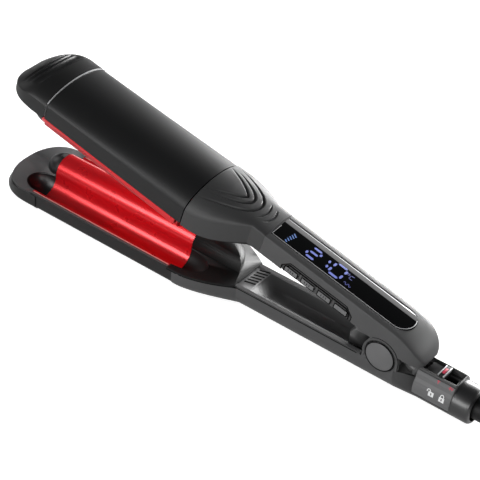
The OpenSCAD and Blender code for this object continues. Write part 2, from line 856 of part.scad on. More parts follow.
module upper_tip_insert() {
    color("#161618")
        upper()
            difference() {
                union() {
                    intersection() {
                        translate([0, 0, band_h - 1.2])
                            linear_extrude(1.1)
                                polygon(nose_outline(x_tip_u + 3, x_plate0 - fit, hw - 0.8));
                        box([x_tip, -hw, 0], [x_plate0 - fit, hw, 60]);
                    }
                    intersection() {
                        egg(x_plate0 - fit, trough_y, mid_u, wave_r - wave_clear, dome_l - wave_clear);
                        box([x_tip, -hw, 0], [x_plate0, hw, mid_u + 0.2]);
                    }
                    box([x_plate0 - dome_l + wave_clear + 1.5, trough_y - wave_r + wave_clear + 0.2, mid_u],
                        [x_plate0 - fit, trough_y + wave_r - wave_clear - 0.2, band_h - 1]);
                    intersection() {
                        egg(x_plate0 - fit, ridge_y, mid_u, wave_r + wave_clear + plate_t, dome_l + 2);
                        box([x_tip, -hw, band_h - 1], [x_plate0, hw, 60]);
                    }
                }
                egg(x_plate0 + eps, ridge_y, mid_u, wave_r + wave_clear, dome_l + wave_clear);
                translate([x_plate0 - 3, 0, 0])
                    box([3.2, ridge_y - wave_r - wave_clear + eps, 0], [5, ridge_y + wave_r, mid_u]);
            }
}

module upper_neck_insert() {
    xs = concat([x_plate1 + fit, x_seam_neck - 0.01, x_seam_neck + 0.01],
        [for (i = [0:9]) x_neck - taper_l * (1 - i / 9)], [x_neck + 6]);
    function inner_w(x) = half_w(x, hw, x_tip) - wall - 2 * fit - (x < x_seam_neck ? panel_inset : 0);
    color("#121214")
        upper()
            difference() {
                intersection() {
                    translate([0, 0, band_h - 1.2])
                        linear_extrude(9)
                            polygon(concat([for (x = xs) [x, -inner_w(x)]], [for (x = flip(xs)) [x, inner_w(x)]]));
                    box([x_plate1, -hw, 0], [x_neck + 6, hw, 60]);
                }
                along_x(x_plate1 - 1, x_neck - 4)
                    translate([ridge_y, mid_u])
                        circle(wave_r + wave_clear);
                translate([x_neck - 26, -hw, band_h - 3])
                    rotate([0, -16, 0])
                        box([0, 0, -20], [60, 2 * hw, 0]);
            }
}

// Convex inner face of the upper handle
module upper_handle_cover() {
    belly_w = gw - wall - fit;
    belly_d = 4;
    belly_r = (belly_w * belly_w + belly_d * belly_d) / (2 * belly_d);
    belly_z = handle_base_h - belly_d + belly_r;
    color("#1a1a1c")
        upper()
            difference() {
                along_x(x_neck + 6 + fit, -13)
                    intersection() {
                        difference() {
                            translate([0, belly_z])
                                circle(belly_r);
                            translate([0, belly_z])
                                circle(belly_r - 1.6);
                        }
                        translate([-belly_w, 0])
                            square([2 * belly_w, handle_base_h + 0.6]);
                    }
                // the ends clear the buttons' frame
                box([frame_x0 - fit, -20, 0], [frame_x1 + fit, -gw + wall + 1.2, 60]);
            }
}

module upper_wave_plate() {
    rb = wave_r - wave_clear;
    ru = wave_r + wave_clear;
    color("#d1101a")
        upper() {
            along_x(x_plate0, x_plate1)
                translate([0, mid_u]) {
                    half_ring(trough_y, rb - plate_t, rb, false);
                    half_ring(ridge_y, ru, ru + plate_t, true);
                    translate([trough_y - rb, 0])
                        square([plate_t, 1]);
                }
            along_x(x_seam + 2, x_plate1)
                translate([0, mid_u]) {
                    translate([-skirt_hw, 0])
                        square([skirt_hw + trough_y - rb + plate_t, plate_t]);
                    translate([ridge_y + ru, 0])
                        square([skirt_hw - ridge_y - ru, plate_t]);
                    for (s = [-1, 1])
                        translate([s > 0 ? skirt_hw - plate_t : -skirt_hw, 0])
                            square([plate_t, band_h - mid_u - fit]);
                }
        }
}

module upper_heater_carrier() {
    x0 = x_plate0 + 8;
    x1 = x_plate1 - 8;
    rb = wave_r - wave_clear;
    ru = wave_r + wave_clear;
    tray_z = mid_u + ru + plate_t + fit;
    color("#8c8a80")
        upper() {
            box([x0, -22, tray_z], [x1, 20, tray_z + 2]);
            box([x0, trough_y - 5, mid_u - 3.4], [x1, trough_y + 5, tray_z]);
        }
}

module upper_heater() {
    color("#d8d2c2")
        upper()
            box([x_plate0 + 20, trough_y - 4.2, mid_u - 7], [x_plate1 - 20, trough_y + 4.2, mid_u - 3.5]);
}

module upper_sensor() {
    color("#b87333")
        upper()
            box([x_plate0 + 16, trough_y - 1.5, mid_u - 5.8], [x_plate0 + 19.6, trough_y + 1.5, mid_u - 3.5]);
}

// Barrel that turns on the hinge pin, with the post that carries the upper handle
module hinge_knuckle() {
    color("#242426")
        upper()
            difference() {
                union() {
                    translate([0, 0, hinge_h])
                        rotate([90, 0, 0])
                            cylinder(r = knuckle_r, h = 2 * knuckle_hw, center = true);
                    box([-7, -knuckle_hw, hinge_h], [7, knuckle_hw, hinge_h + ear_r + 2]);
                    box([-7, -gw + wall + fit, hinge_h + ear_r + run], [7, gw - wall - fit, hinge_h + ear_r + 3.6]);
                }
                translate([0, 0, hinge_h])
                    rotate([90, 0, 0])
                        cylinder(r = pin_r + turn, h = 60, center = true);
                // slot of the spring
                translate([0, 0, hinge_h])
                    rotate([90, 0, 0])
                        cylinder(r = knuckle_r + 2, h = 7, center = true);
            }
}

module display_lens() {
    crown_r = 60;
    color("#050506")
        upper()
            intersection() {
                translate([0, 0, handle_top_h - lens_t + fit])
                    linear_extrude(lens_t)
                        lens_plan(0);
                along_x(x_neck, x_butt)
                    translate([0, handle_top_h + 0.3 - crown_r])
                        circle(crown_r, $fn = 180);
                along_y(-gw, gw)
                    polygon(concat([[x_neck, handle_base_h], [x_neck, handle_top_h + 0.3]],
                        [for (x = [-1, 2, 4, 6, 8]) [x, butt_top(x) + 0.3]], [[8, handle_base_h]]));
            }
}

module display_module() {
    color("#20242c")
        upper()
            box([x_lens + 6, -7, handle_top_h - lens_t - 3.6], [-30, 7, handle_top_h - lens_t]);
}

module control_board() {
    color("#1f5b3a")
        upper()
            box([x_lens + 4, -8.6, board_z0], [-10, 8.6, board_z0 + 1.6]);
}

// Outline of the bezel in X and Z, with slanted ends, made smaller by g
module frame_outline(g) {
    polygon([[frame_x0 + g, handle_base_h - 1], [frame_x1 - g, handle_base_h - 1],
        [frame_x1 - g, frame_top - 5], [frame_x1 - 5, frame_top - g],
        [frame_x0 + 5, frame_top - g], [frame_x0 + g, frame_top - 5]]);
}

// Recessed bezel round the buttons
module button_frame() {
    y1 = -gw + wall;
    color("#1a1a1c")
        upper()
            difference() {
                along_y(-gw + 0.7, y1 - 0.1)
                    intersection() {
                        frame_outline(fit);
                        translate([frame_x0, handle_base_h])
                            square([frame_x1 - frame_x0, frame_top]);
                    }
                for (i = [0:3])
                    box([button_x0 + button_pitch * i - 0.25, -20, button_z0 - 0.25],
                        [button_x0 + button_pitch * i + button_l + 0.25, 0, button_z0 + button_h + 0.25]);
            }
}

module button(i) {
    x0 = button_x0 + button_pitch * i;
    color("#2e2e30")
        upper() {
            box([x0, -gw - 0.1, button_z0], [x0 + button_l, -gw + wall + 0.1, button_z0 + button_h]);
            box([x0 + 3, -gw + wall + 0.1, button_z0 + 1], [x0 + button_l - 3, -gw + wall + 0.7, button_z0 + button_h - 1]);
        }
}

module button_1() {
    button(0);
}

module button_2() {
    button(1);
}

module button_3() {
    button(2);
}

module button_4() {
    button(3);
}

// One tact switch behind each button
module tact_switches() {
    color("#6d6d72")
        upper()
            for (i = [0:3])
                box([button_x0 + button_pitch * i + 2, -gw + wall + 0.8 + button_travel, button_z0],
                    [button_x0 + button_pitch * i + button_l - 2, -gw + wall + 4.6, button_z0 + switch_h]);
}

// ---------- cord ----------

coil_r = 38;
coil_x = 190;
coil_y = 18;
boss_r = 5.4;
coil_rows = 2;
coil_layers = 6;
cord_z = cord_d / 2;

// Point at t on a smooth curve from a to b with the given directions
function sweep_at(a, da, b, db, t) =
    a * (2 * t * t * t - 3 * t * t + 1) + da * (t * t * t - 2 * t * t + t)
        + b * (3 * t * t - 2 * t * t * t) + db * (t * t * t - t * t);
// Route of the lead from the strain relief to the coil, drawn from the hinge
lead_fall = [[0, collar_z], [3, collar_z], [10, 11.1], [20, 9], [31, 6], [42, 4], [54, cord_z]];
coil_low = coil_y - coil_r + cord_z;
lead_route = concat([for (x = [0.1, 3, 10]) [tail_reach + x, 0, lookup(x, lead_fall)]],
    [for (i = [0:9])
        let (p = sweep_at([tail_reach + 16, 0], [40, 0], [coil_x, coil_low], [55, 0], i / 11))
        [p[0], p[1], lookup(p[0] - tail_reach, lead_fall)]]);
// Route of the free end from the coil to the plug
end_x = coil_x - 44;
end_y = coil_y + coil_r - 10.6;
coil_edge = coil_r + cord_z;
end_from = [coil_x + coil_edge * cos(100), coil_y + coil_edge * sin(100)];
end_route = concat([for (i = [0:7])
    let (p = sweep_at(end_from, 35 * [-sin(100), cos(100)], [end_x + 2, end_y], [-15, 0], i / 7),
        t = clamp01((i - 3) / 4))
    [p[0], p[1], cord_z + (boss_r - cord_z) * t * t * (3 - 2 * t)]], [[end_x, end_y, boss_r]]);

// Tube of eight sides swept along a route
module tube(route, r) {
    sides = 8;
    n = len(route);
    function dir(i) = route[min(i + 1, n - 1)] - route[max(i - 1, 0)];
    rings = [for (i = [0:n - 1])
        let (d = dir(i) / norm(dir(i)), side = [-d[1], d[0], 0] / norm([d[0], d[1]]), up = cross(d, side))
        [for (k = [0:sides - 1])
            let (a = -360 * (k + 0.5) / sides)
            route[i] + r * (cos(a) * side + sin(a) * up)]];
    skin(rings);
}

module cord_lead() {
    color("#101012")
        lower()
            tube(lead_route, cord_d / 2);
}

module coil_section(grow) {
    w = coil_rows * cord_d / 2 + grow;
    translate([coil_r - w, -grow])
        square([2 * w, coil_layers * cord_d + 2 * grow]);
}

module cord_coil() {
    color("#101012")
        lower()
            translate([coil_x, coil_y, 0])
                rotate_extrude()
                    coil_section(0);
}

module cord_end() {
    color("#101012")
        lower()
            mirror([1, 0, 0])
                tube([for (p = end_route) [-p[0], p[1], p[2]]], cord_z);
}

// Strap round the coil
module cord_tie() {
    color("#18181a")
        lower()
            translate([coil_x + coil_r, coil_y, 0])
                difference() {
                    box([-8.8, -6, 0], [8.2, 6, coil_layers * cord_d + 1.3]);
                    box([-7.6, -7, -1], [7, 7, coil_layers * cord_d + 0.1]);
                }
}

// Flat two-pole plug that lies beside the coil
module plug_body() {
    x1 = end_x - 0.05;
    color("#101012")
        lower()
            translate([x1, end_y, 0]) {
                along_x(-12, 0)
                    translate([0, boss_r])
                        circle(boss_r);
                along_x(-33, -12)
                    union() {
                        translate([-7, 0])
                            square([14, 14]);
                        for (s = [-1, 1])
                            translate([7 * s, 7])
                                circle(7);
                    }
            }
}

module plug_pins() {
    x1 = end_x - 33.1;
    color("#c8c8cc")
        lower()
            for (s = [-1, 1])
                translate([x1, end_y + 9.3 * s, 7])
                    rotate([0, -90, 0])
                        cylinder(r = 2, h = 19);
}

lower_tip_cap();
lower_head_panel();
lower_handle_shell();
lower_inner_frame();
lower_neck_fairing();
lower_handle_cover();
lower_wave_plate();
lower_heater();
lower_heater_carrier();
lower_sensor();
ion_generator();
casing_screws();
hinge_yoke();
hinge_pin();
hinge_cap_near();
hinge_cap_far();
hinge_spring();
tail_housing();
lock_panel();
lock_slider();
slider_bar();
slider_pointer();
latch_bar();
swivel_collar();
swivel_bush();
cord_relief();
upper_tip_cap();
upper_cap_trim();
upper_head_panel();
upper_neck_cover();
upper_handle_shell();
upper_tip_insert();
upper_neck_insert();
upper_handle_cover();
upper_wave_plate();
upper_heater();
upper_heater_carrier();
upper_sensor();
hinge_knuckle();
display_lens();
display_module();
control_board();
button_frame();
button_1();
button_2();
button_3();
button_4();
tact_switches();
cord_lead();
cord_coil();
cord_end();
cord_tie();
plug_body();
plug_pins();
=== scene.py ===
"""Hair waver: the looks of its pieces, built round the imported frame.

Run as a script. It is laid out as an add-on: every group of pieces has its own operator.
Sizes inside the file are millimetres from the hinge pin, with the arms closed.
"""

import math

import bmesh
import bpy
import numpy as np
from bpy.props import FloatProperty, FloatVectorProperty, IntProperty, PointerProperty
from mathutils import Matrix, Vector


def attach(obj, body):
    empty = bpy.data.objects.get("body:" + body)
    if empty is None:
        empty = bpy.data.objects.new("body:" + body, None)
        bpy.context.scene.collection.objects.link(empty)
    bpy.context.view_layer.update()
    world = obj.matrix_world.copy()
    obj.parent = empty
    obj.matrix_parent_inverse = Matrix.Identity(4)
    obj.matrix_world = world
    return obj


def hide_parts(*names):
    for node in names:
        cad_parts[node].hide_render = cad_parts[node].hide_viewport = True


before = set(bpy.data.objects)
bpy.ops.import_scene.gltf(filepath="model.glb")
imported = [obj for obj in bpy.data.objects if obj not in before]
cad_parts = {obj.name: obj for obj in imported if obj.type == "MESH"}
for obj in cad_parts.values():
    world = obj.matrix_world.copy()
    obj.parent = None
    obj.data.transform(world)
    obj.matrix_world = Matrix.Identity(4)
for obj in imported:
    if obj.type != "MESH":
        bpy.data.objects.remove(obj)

bl_info = {
    "name": "Hair Waver",
    "version": (1, 0, 0),
    "blender": (4, 5, 0),
    "location": "View3D > Sidebar > Hair Waver",
    "description": "Builds the casing, plates, controls, cord and stage of a hair waver",
    "category": "Object",
}

# ---------- sizes in millimetres, most of them shared with the part's source ----------

HINGE_X, HINGE_Z, OPEN_ANGLE = 93.0, 24.0, 13.0
X_NECK, X_LENS, X_BUTT = -104.0, -94.0, 24.6
X_PLATE0, X_PLATE1 = -259.0, -147.0
X_TIP, X_SEAM, X_SEAM_NECK = -290.0, -255.0, -143.0
HALF_HEAD, HALF_GRIP, WALL, FIT = 27.8, 13.8, 2.0, 0.1
PANEL_HALF = 27.2
NOSE_L, TAPER_L = 25.0, 36.0
LIP_H, SHELL_TOP, HEAD_SIDE_H, HEAD_E = 18.8, 17.4, 10.4, 0.6
BAND_H, SIDE_H, HANDLE_BASE_H, HANDLE_SIDE_H, HANDLE_TOP_H = 23.8, 33.3, 31.5, 44.6, 46.8
TIP_CROWN_H, NECK_CROWN_H, PLATE_L = 43.4, 48.8, 112.0
EAR_Y, EAR_R, EAR_T, CAP_R, CAP_FACE_Y, RUN = 14.1, 12.0, 2.6, 10.0, 14.5, 0.4
LENS_W, LENS_T, LENS_END_X, LENS_X0 = 19.2, 1.8, 7.3, -93.0
BUTTON_X0, BUTTON_PITCH, BUTTON_Z0, BUTTON_L, BUTTON_H = -75.6, 12.4, 32.4, 10, 4.4
KEY_LINE_W, KEY_RIM_IN, KEY_MARK_PITCH = 0.6, 0.3, 1.7
WAVE_R, WAVE_CLEAR, PLATE_T, PANEL_INSET = 10.3, 0.8, 1.2, 0.6
FRAME_X0, FRAME_X1, FRAME_TOP, FRAME_BEVEL = -77.6, -25.4, 40.2, 5
TAIL_L, COLLAR_L, RELIEF_L, COLLAR_R = 48.0, 12.0, 44.0, 11.6
TAIL_REACH = TAIL_L + COLLAR_L + RELIEF_L
COIL_X, COIL_Y, COIL_R, CORD_D, COIL_LAYERS = 190.0, 18.0, 38.0, 6.8, 6
PLUG_X, PLUG_Y, BOSS_R = 146.0, 45.4, 5.4


# ---------- placing ----------

def lower_place(points):
    """Points of the lower arm, in the row frame and in metres."""
    p = np.asarray(points, float).reshape(-1, 3)
    return (p + [HINGE_X, 0, 0]) / 1000


def upper_place(points):
    """Points of the upper arm, drawn closed, at its open rest angle, in metres."""
    p = np.asarray(points, float).reshape(-1, 3)
    a = math.radians(OPEN_ANGLE)
    z = p[:, 2] - HINGE_Z
    x = p[:, 0] * math.cos(a) + z * math.sin(a)
    z = -p[:, 0] * math.sin(a) + z * math.cos(a)
    return np.stack([x + HINGE_X, p[:, 1], z + HINGE_Z], axis=1) / 1000


# ---------- profiles of the arms ----------

def clamp01(v):
    return max(0.0, min(1.0, v))


def nose_w(x, w, nose_x, length, e):
    """Half width of a round nose that is full after length."""
    if x >= nose_x + length:
        return w
    return w * max(0.0, 1 - ((nose_x + length - x) / length) ** e) ** (1 / e)


def half_w(x, w):
    """Half width of an arm: round nose, straight head, tapering neck, straight handle."""
    if x < X_TIP + NOSE_L:
        return nose_w(x, w, X_TIP, NOSE_L, 2.5)
    if x < X_NECK - TAPER_L:
        return w
    if x < X_NECK:
        return w - (w - HALF_GRIP) * ((x - X_NECK + TAPER_L) / TAPER_L) ** 1.7
    return HALF_GRIP


def neck_t(x):
    return clamp01((x - X_NECK + TAPER_L) / TAPER_L)


def nose_t(x):
    return clamp01((x - X_TIP) / NOSE_L)


def ramp(x, table):
    xs, ys = zip(*table)
    return float(np.interp(x, xs, ys))


def u_base(x):
    return BAND_H + (HANDLE_BASE_H - BAND_H) * clamp01((x - X_NECK + 26) / 26) ** 1.4


def u_side(x):
    if x < X_TIP + NOSE_L:
        return SIDE_H - 7.2 * (1 - nose_t(x)) ** 1.6
    head = SIDE_H + 1.5 * clamp01((x - X_PLATE0) / PLATE_L)
    return head + (HANDLE_SIDE_H - SIDE_H - 1.5) * neck_t(x) ** 1.5


def u_crown_line(x):
    if x < X_PLATE1:
        return TIP_CROWN_H + (NECK_CROWN_H - TIP_CROWN_H) * (x - X_PLATE0) / PLATE_L
    return ramp(x, [(X_PLATE1, NECK_CROWN_H), (X_NECK - 26, NECK_CROWN_H + 0.7),
                    (X_NECK - 14, NECK_CROWN_H + 0.2), (X_NECK, NECK_CROWN_H - 0.9),
                    (X_LENS, HANDLE_TOP_H + 0.4)])


def u_crown(x):
    return u_crown_line(x) - (u_crown_line(x) - SIDE_H + 7.6) * (1 - nose_t(x)) ** 2


def u_exp(x):
    return 0.74 - 0.14 * clamp01((x - X_PLATE0) / PLATE_L) - 0.25 * neck_t(x)


def l_side(x):
    return HEAD_SIDE_H + (HALF_GRIP - HEAD_SIDE_H) * neck_t(x)


def l_exp(x):
    return HEAD_E - (HEAD_E - 0.5) * neck_t(x)


def dome(w, side, crown, e, n):
    """Points from -w to w that rise from side to crown."""
    a = np.linspace(0, math.pi, n + 1)
    return np.stack([-w * np.cos(a), side + (crown - side) * np.sin(a).clip(0) ** (2 * e)], axis=1)


def keel(w, side, bottom, e, n):
    """Points from w to -w that fall from side to bottom, cut flat where the arm rests."""
    a = np.linspace(0, math.pi, n + 1)
    z = side - (side - bottom) * 1.04 * np.sin(a).clip(0) ** (2 * e)
    return np.stack([w * np.cos(a), np.maximum(bottom, z)], axis=1)


def arch(w, base, side, crown, e, n):
    """Closed section of the upper arm: flat base, straight sides, domed top."""
    return np.concatenate([[[-w, base]], dome(w, side, crown, e, n), [[w, base]]])


def arch_shell(w, base, side, crown, e, t, n):
    return np.concatenate([arch(w, base, side, crown, e, n), arch(w - t, base, side, crown - t, e, n)[::-1]])


def keel_shell(w, top, side, e, t, n):
    inner = keel(w - t, side, 0, e, n)
    inner[:, 1] = np.maximum(t, inner[:, 1] + t / 2)
    return np.concatenate([[[-w, top], [-w + t, top]], inner[::-1], [[w - t, top], [w, top]],
                           keel(w, side, 0, e, n)])


def butt_w(x):
    return HALF_GRIP * (1 - clamp01((x - 4) / (X_BUTT - 3.4)) ** 3) ** (1 / 3)


def butt_top(x):
    return HANDLE_TOP_H - 19 + 19 * math.sqrt(1 - (max(0, x) / (X_BUTT + 1.6)) ** 2)


def butt_side(x):
    return butt_top(x) - (HANDLE_TOP_H - HANDLE_SIDE_H) * butt_w(x) / HALF_GRIP


def butt_base(x):
    return HANDLE_BASE_H + 2 - 2 * math.sqrt(1 - clamp01((x - 20) / (X_BUTT - 19.9)) ** 2)


def stations(*spans):
    """Positions along X: (from, to, how many steps), joined."""
    xs = []
    for a, b, n in spans:
        xs += list(np.linspace(a, b, n + 1))
    return sorted(set(np.round(xs, 5)))


def nose_stations(n):
    return [X_TIP + NOSE_L * (1 - math.cos(math.radians(10 + 80 * i / n))) for i in range(n + 1)]


# ---------- mesh helpers ----------

def polish(mesh, angle=32):
    """Smooth shading that stops at edges sharper than angle."""
    mesh.shade_smooth()
    mesh.set_sharp_from_angle(angle=math.radians(angle))


def new_piece(name, mesh):
    piece = bpy.data.objects.new(name, mesh)
    bpy.context.scene.collection.objects.link(piece)
    return piece


def outward(mesh):
    """Turns a closed mesh's faces outwards."""
    bm = bmesh.new()
    bm.from_mesh(mesh)
    if bm.calc_volume(signed=True) < 0:
        bmesh.ops.reverse_faces(bm, faces=bm.faces)
        bm.to_mesh(mesh)
    bm.free()


def solid(name, points, faces, place, angle=32):
    """A closed mesh piece from points in millimetres."""
    mesh = bpy.data.meshes.new(name)
    mesh.from_pydata(place(points).tolist(), [], faces)
    mesh.validate()
    outward(mesh)
    polish(mesh, angle)
    return new_piece(name, mesh)


def sides(m, n):
    """Faces between m rings of n points."""
    return [[i * n + j, i * n + (j + 1) % n, (i + 1) * n + (j + 1) % n, (i + 1) * n + j]
            for i in range(m - 1) for j in range(n)]


def loft(name, rings, place, angle=32):
    """A closed skin through rings of (x, y, z), all with the same count, with flat ends."""
    rings = np.asarray(rings, float)
    m, n = rings.shape[:2]
    faces = sides(m, n) + [list(range(n))[::-1], [(m - 1) * n + j for j in range(n)]]
    return solid(name, rings.reshape(-1, 3), faces, place, angle)


def ring(x, section):
    return np.column_stack([np.full(len(section), x), section])


def evaluated(piece):
    """Replaces a piece's mesh with what its modifiers make of it, and takes them off."""
    graph = bpy.context.evaluated_depsgraph_get()
    mesh = bpy.data.meshes.new_from_object(piece.evaluated_get(graph))
    piece.modifiers.clear()
    old, piece.data = piece.data, mesh
    bpy.data.meshes.remove(old)
    return piece


def cut(piece, cutters, angle=32):
    """Takes the cutters out of the piece."""
    for cutter in cutters:
        mod = piece.modifiers.new("cut", "BOOLEAN")
        mod.operation, mod.solver, mod.object = "DIFFERENCE", "EXACT", cutter
    evaluated(piece)
    for cutter in cutters:
        bpy.data.objects.remove(cutter)
    polish(piece.data, angle)
    return piece


def block(a, b, place):
    """A plain box, as a cutter."""
    points = [(x, y, z) for x in (a[0], b[0]) for y in (a[1], b[1]) for z in (a[2], b[2])]
    faces = [(0, 1, 3, 2), (4, 6, 7, 5), (0, 4, 5, 1), (2, 3, 7, 6), (0, 2, 6, 4), (1, 5, 7, 3)]
    return solid("cutter", points, faces, place)


def prism(outline, a, b, axis, place):
    """An outline in the plane across axis, run from a to b along it, as a cutter."""
    outline = np.asarray(outline, float)
    return loft("cutter", [np.insert(outline, axis, v, axis=1) for v in (a, b)], place)


def pin_circle(r):
    """Outline in X and Z of a disc round the hinge pin."""
    a = np.linspace(0, 2 * math.pi, 96, endpoint=False)
    return np.stack([r * np.cos(a), HINGE_Z + r * np.sin(a)], axis=1)


def egg(x0, y, z, r, length, place):
    """Half an egg that points from x0 to the tip, as a cutter."""
    points, k, n = [], 20, 48
    for i in range(k):
        t = math.radians(90 * i / k)
        for j in range(n):
            a = 2 * math.pi * j / n
            points.append((x0 - length * math.sin(t), y + r * math.cos(t) * math.cos(a),
                           z + r * math.cos(t) * math.sin(a)))
    points.append((x0 - length, y, z))
    tip = [[(k - 1) * n + j, (k - 1) * n + (j + 1) % n, k * n] for j in range(n)]
    return solid("cutter", points, sides(k, n) + tip + [list(range(n))[::-1]], place)


def keep(piece, body, slot, node=None, look=None):
    """Finishes a piece: gives it the material of its look, or else of its slot, puts it on its body and hides the CAD
    node that it stands for.
    """
    piece.data.materials.clear()
    piece.data.materials.append(finish(look or slot))
    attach(piece, body)
    if node:
        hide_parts(*([node] if isinstance(node, str) else node))
    return piece


def second_finish(piece, look, faces):
    """Gives the chosen faces of a piece a finish of their own."""
    piece.data.materials.append(finish(look))
    for face in piece.data.polygons:
        if faces(face):
            face.material_index = 1


def refined(node, body, slot, angle=32, bevel=0.0, look=None):
    """A merged and smoothed copy of a CAD node that stands for it, with its edges eased."""
    bm = bmesh.new()
    bm.from_mesh(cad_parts[node].data)
    bmesh.ops.remove_doubles(bm, verts=bm.verts, dist=2e-6)
    if bevel:
        bmesh.ops.dissolve_limit(bm, angle_limit=math.radians(0.6), verts=bm.verts, edges=bm.edges)
    mesh = bpy.data.meshes.new(node + "_form")
    bm.to_mesh(mesh)
    bm.free()
    piece = new_piece(node + "_form", mesh)
    if bevel:
        mod = piece.modifiers.new("ease", "BEVEL")
        mod.width, mod.segments, mod.limit_method = bevel / 1000, 2, "ANGLE"
        mod.angle_limit = math.radians(40)
        mod.use_clamp_overlap = True
        evaluated(piece)
    polish(piece.data, angle)
    return keep(piece, body, slot, node, look)


# ---------- materials ----------

def preset(node, values):
    """Sets constants on input sockets of a node."""
    for socket, value in values.items():
        node.inputs[socket].default_value = value


def wire(tree, *joins):
    """Links sockets. Each join is a node, its output, a node and its input."""
    for source, out, target, into in joins:
        tree.links.new(source.outputs[out], target.inputs[into])


def shader_nodes(tree, *kinds):
    return [tree.nodes.new("ShaderNode" + kind) for kind in kinds]


def add_inputs(tree, inputs):
    """Names the inputs of a tree, each with its kind of socket and its value."""
    for label, kind, value in inputs:
        socket = tree.interface.new_socket(name=label, in_out="INPUT", socket_type="NodeSocket" + kind)
        if value is not None:
            socket.default_value = value


def moulded_surface():
    """Shared effect: the slight mottling, rub and grain of moulded and sprayed surfaces."""
    if "moulded_surface" in bpy.data.node_groups:
        return bpy.data.node_groups["moulded_surface"]
    tree = bpy.data.node_groups.new("moulded_surface", "ShaderNodeTree")
    add_inputs(tree, [
        ("Vector", "Vector", None), ("Colour", "Color", (0.1, 0.1, 0.1, 1)),
        ("Shade", "Color", (0.08, 0.08, 0.08, 1)), ("Mottle Scale", "Float", 60.0),
        ("Rough Low", "Float", 0.4), ("Rough High", "Float", 0.5), ("Grain Scale", "Float", 2500.0)])
    for label, kind in (("Colour", "Color"), ("Roughness", "Float"), ("Height", "Float")):
        tree.interface.new_socket(name=label, in_out="OUTPUT", socket_type="NodeSocket" + kind)
    enter, leave = tree.nodes.new("NodeGroupInput"), tree.nodes.new("NodeGroupOutput")
    mottle, mix, rub, grain = shader_nodes(tree, "TexNoise", "Mix", "MapRange", "TexNoise")
    mix.data_type = "RGBA"
    preset(mottle, {"Detail": 3.0})
    preset(rub, {"From Min": 0.3, "From Max": 0.7})
    preset(grain, {"Detail": 2.0})
    wire(tree,
         (enter, "Vector", mottle, "Vector"), (enter, "Mottle Scale", mottle, "Scale"),
         (mottle, "Fac", mix, "Factor"), (enter, "Colour", mix, "A"), (enter, "Shade", mix, "B"),
         (mix, "Result", leave, "Colour"),
         (mottle, "Fac", rub, "Value"), (enter, "Rough Low", rub, "To Min"),
         (enter, "Rough High", rub, "To Max"), (rub, "Result", leave, "Roughness"),
         (enter, "Vector", grain, "Vector"), (enter, "Grain Scale", grain, "Scale"),
         (grain, "Fac", leave, "Height"))
    return tree


def moulded(name, colour, shade, rough, mottle=60.0, grain=2500.0, depth=1e-5, metallic=0.0, specular=0.5,
            coat=0.0, coat_rough=0.1):
    """A material made of the shared moulded surface and one Principled shader."""
    own = name + "_finish"
    if own in bpy.data.materials:
        return bpy.data.materials[own]
    material = bpy.data.materials.new(own)
    material.use_nodes = True
    tree = material.node_tree
    shader = tree.nodes["Principled BSDF"]
    where, surface, bump = shader_nodes(tree, "TexCoord", "Group", "Bump")
    surface.node_tree = moulded_surface()
    preset(shader, {"Metallic": metallic, "Specular IOR Level": specular, "Coat Weight": coat,
                    "Coat Roughness": coat_rough})
    preset(surface, {"Colour": (*colour, 1), "Shade": (*shade, 1), "Mottle Scale": mottle,
                     "Rough Low": rough[0], "Rough High": rough[1], "Grain Scale": grain})
    preset(bump, {"Strength": 0.6, "Distance": depth})
    wire(tree,
         (where, "Object", surface, "Vector"), (surface, "Colour", shader, "Base Color"),
         (surface, "Roughness", shader, "Roughness"), (surface, "Height", bump, "Height"),
         (bump, "Normal", shader, "Normal"))
    return material


def glow(name, colour):
    """Lit segments of the display, a little uneven like light-emitting segments."""
    material = moulded(name, (0.02, 0.03, 0.12), (0.015, 0.02, 0.1), (0.3, 0.4), mottle=900.0)
    tree = material.node_tree
    shader = tree.nodes["Principled BSDF"]
    where = next(n for n in tree.nodes if n.type == "TEX_COORD")
    noise, mix = shader_nodes(tree, "TexNoise", "Mix")
    mix.data_type = "RGBA"
    preset(noise, {"Scale": 700.0})
    preset(mix, {"A": (*[c * 0.75 for c in colour], 1), "B": (*colour, 1)})
    preset(shader, {"Emission Strength": 1.0})
    wire(tree, (where, "Object", noise, "Vector"), (noise, "Fac", mix, "Factor"),
         (mix, "Result", shader, "Emission Color"))
    return material


SOFT = {"mottle": 40, "grain": 2600, "depth": 4e-6, "specular": 0.4}
FINE = {"grain": 3000, "depth": 3e-6, "specular": 0.35}
GLOSS = {"mottle": 15, "grain": 900, "depth": 2e-6}

# finishes made from a colour of the looks: which one, its share in the colour and in the shade, roughness, rest
TINTED = {
    "soft_grey_casing": ("casing", 1, 0.86, (0.42, 0.5), SOFT),
    "dish_grey": ("casing", 0.6, 0.5, (0.4, 0.48), SOFT),
    "neck_grey": ("casing", 0.6, 0.5, (0.42, 0.48), SOFT),
    "light_grey_casing": ("casing", 1.9, 1.6, (0.4, 0.48), SOFT),
    "tail_grey": ("casing", 0.7, 0.6, (0.4, 0.48), SOFT),
    "soft_black_casing": ("casing", 0.16, 0.12, (0.4, 0.47), {**SOFT, "specular": 0.35}),
    # painted light: a lighter share of the casing grey, given only to flat faces that point up, for the light that
    # falls on them
    "lip_grey": ("casing", 1.3, 1.1, (0.42, 0.5), {**SOFT, "depth": 3e-6, "specular": 0.5}),
    "dark_head_panel": ("panel", 1, 0.85, (0.43, 0.47), {**FINE, "mottle": 25}),
    "red_ceramic": ("plate", 1, 0.93, (0.27, 0.29), {"mottle": 80, "grain": 4000, "depth": 4e-7, "metallic": 0.45,
                                                     "specular": 0.6, "coat": 0.3, "coat_rough": 0.16}),
}

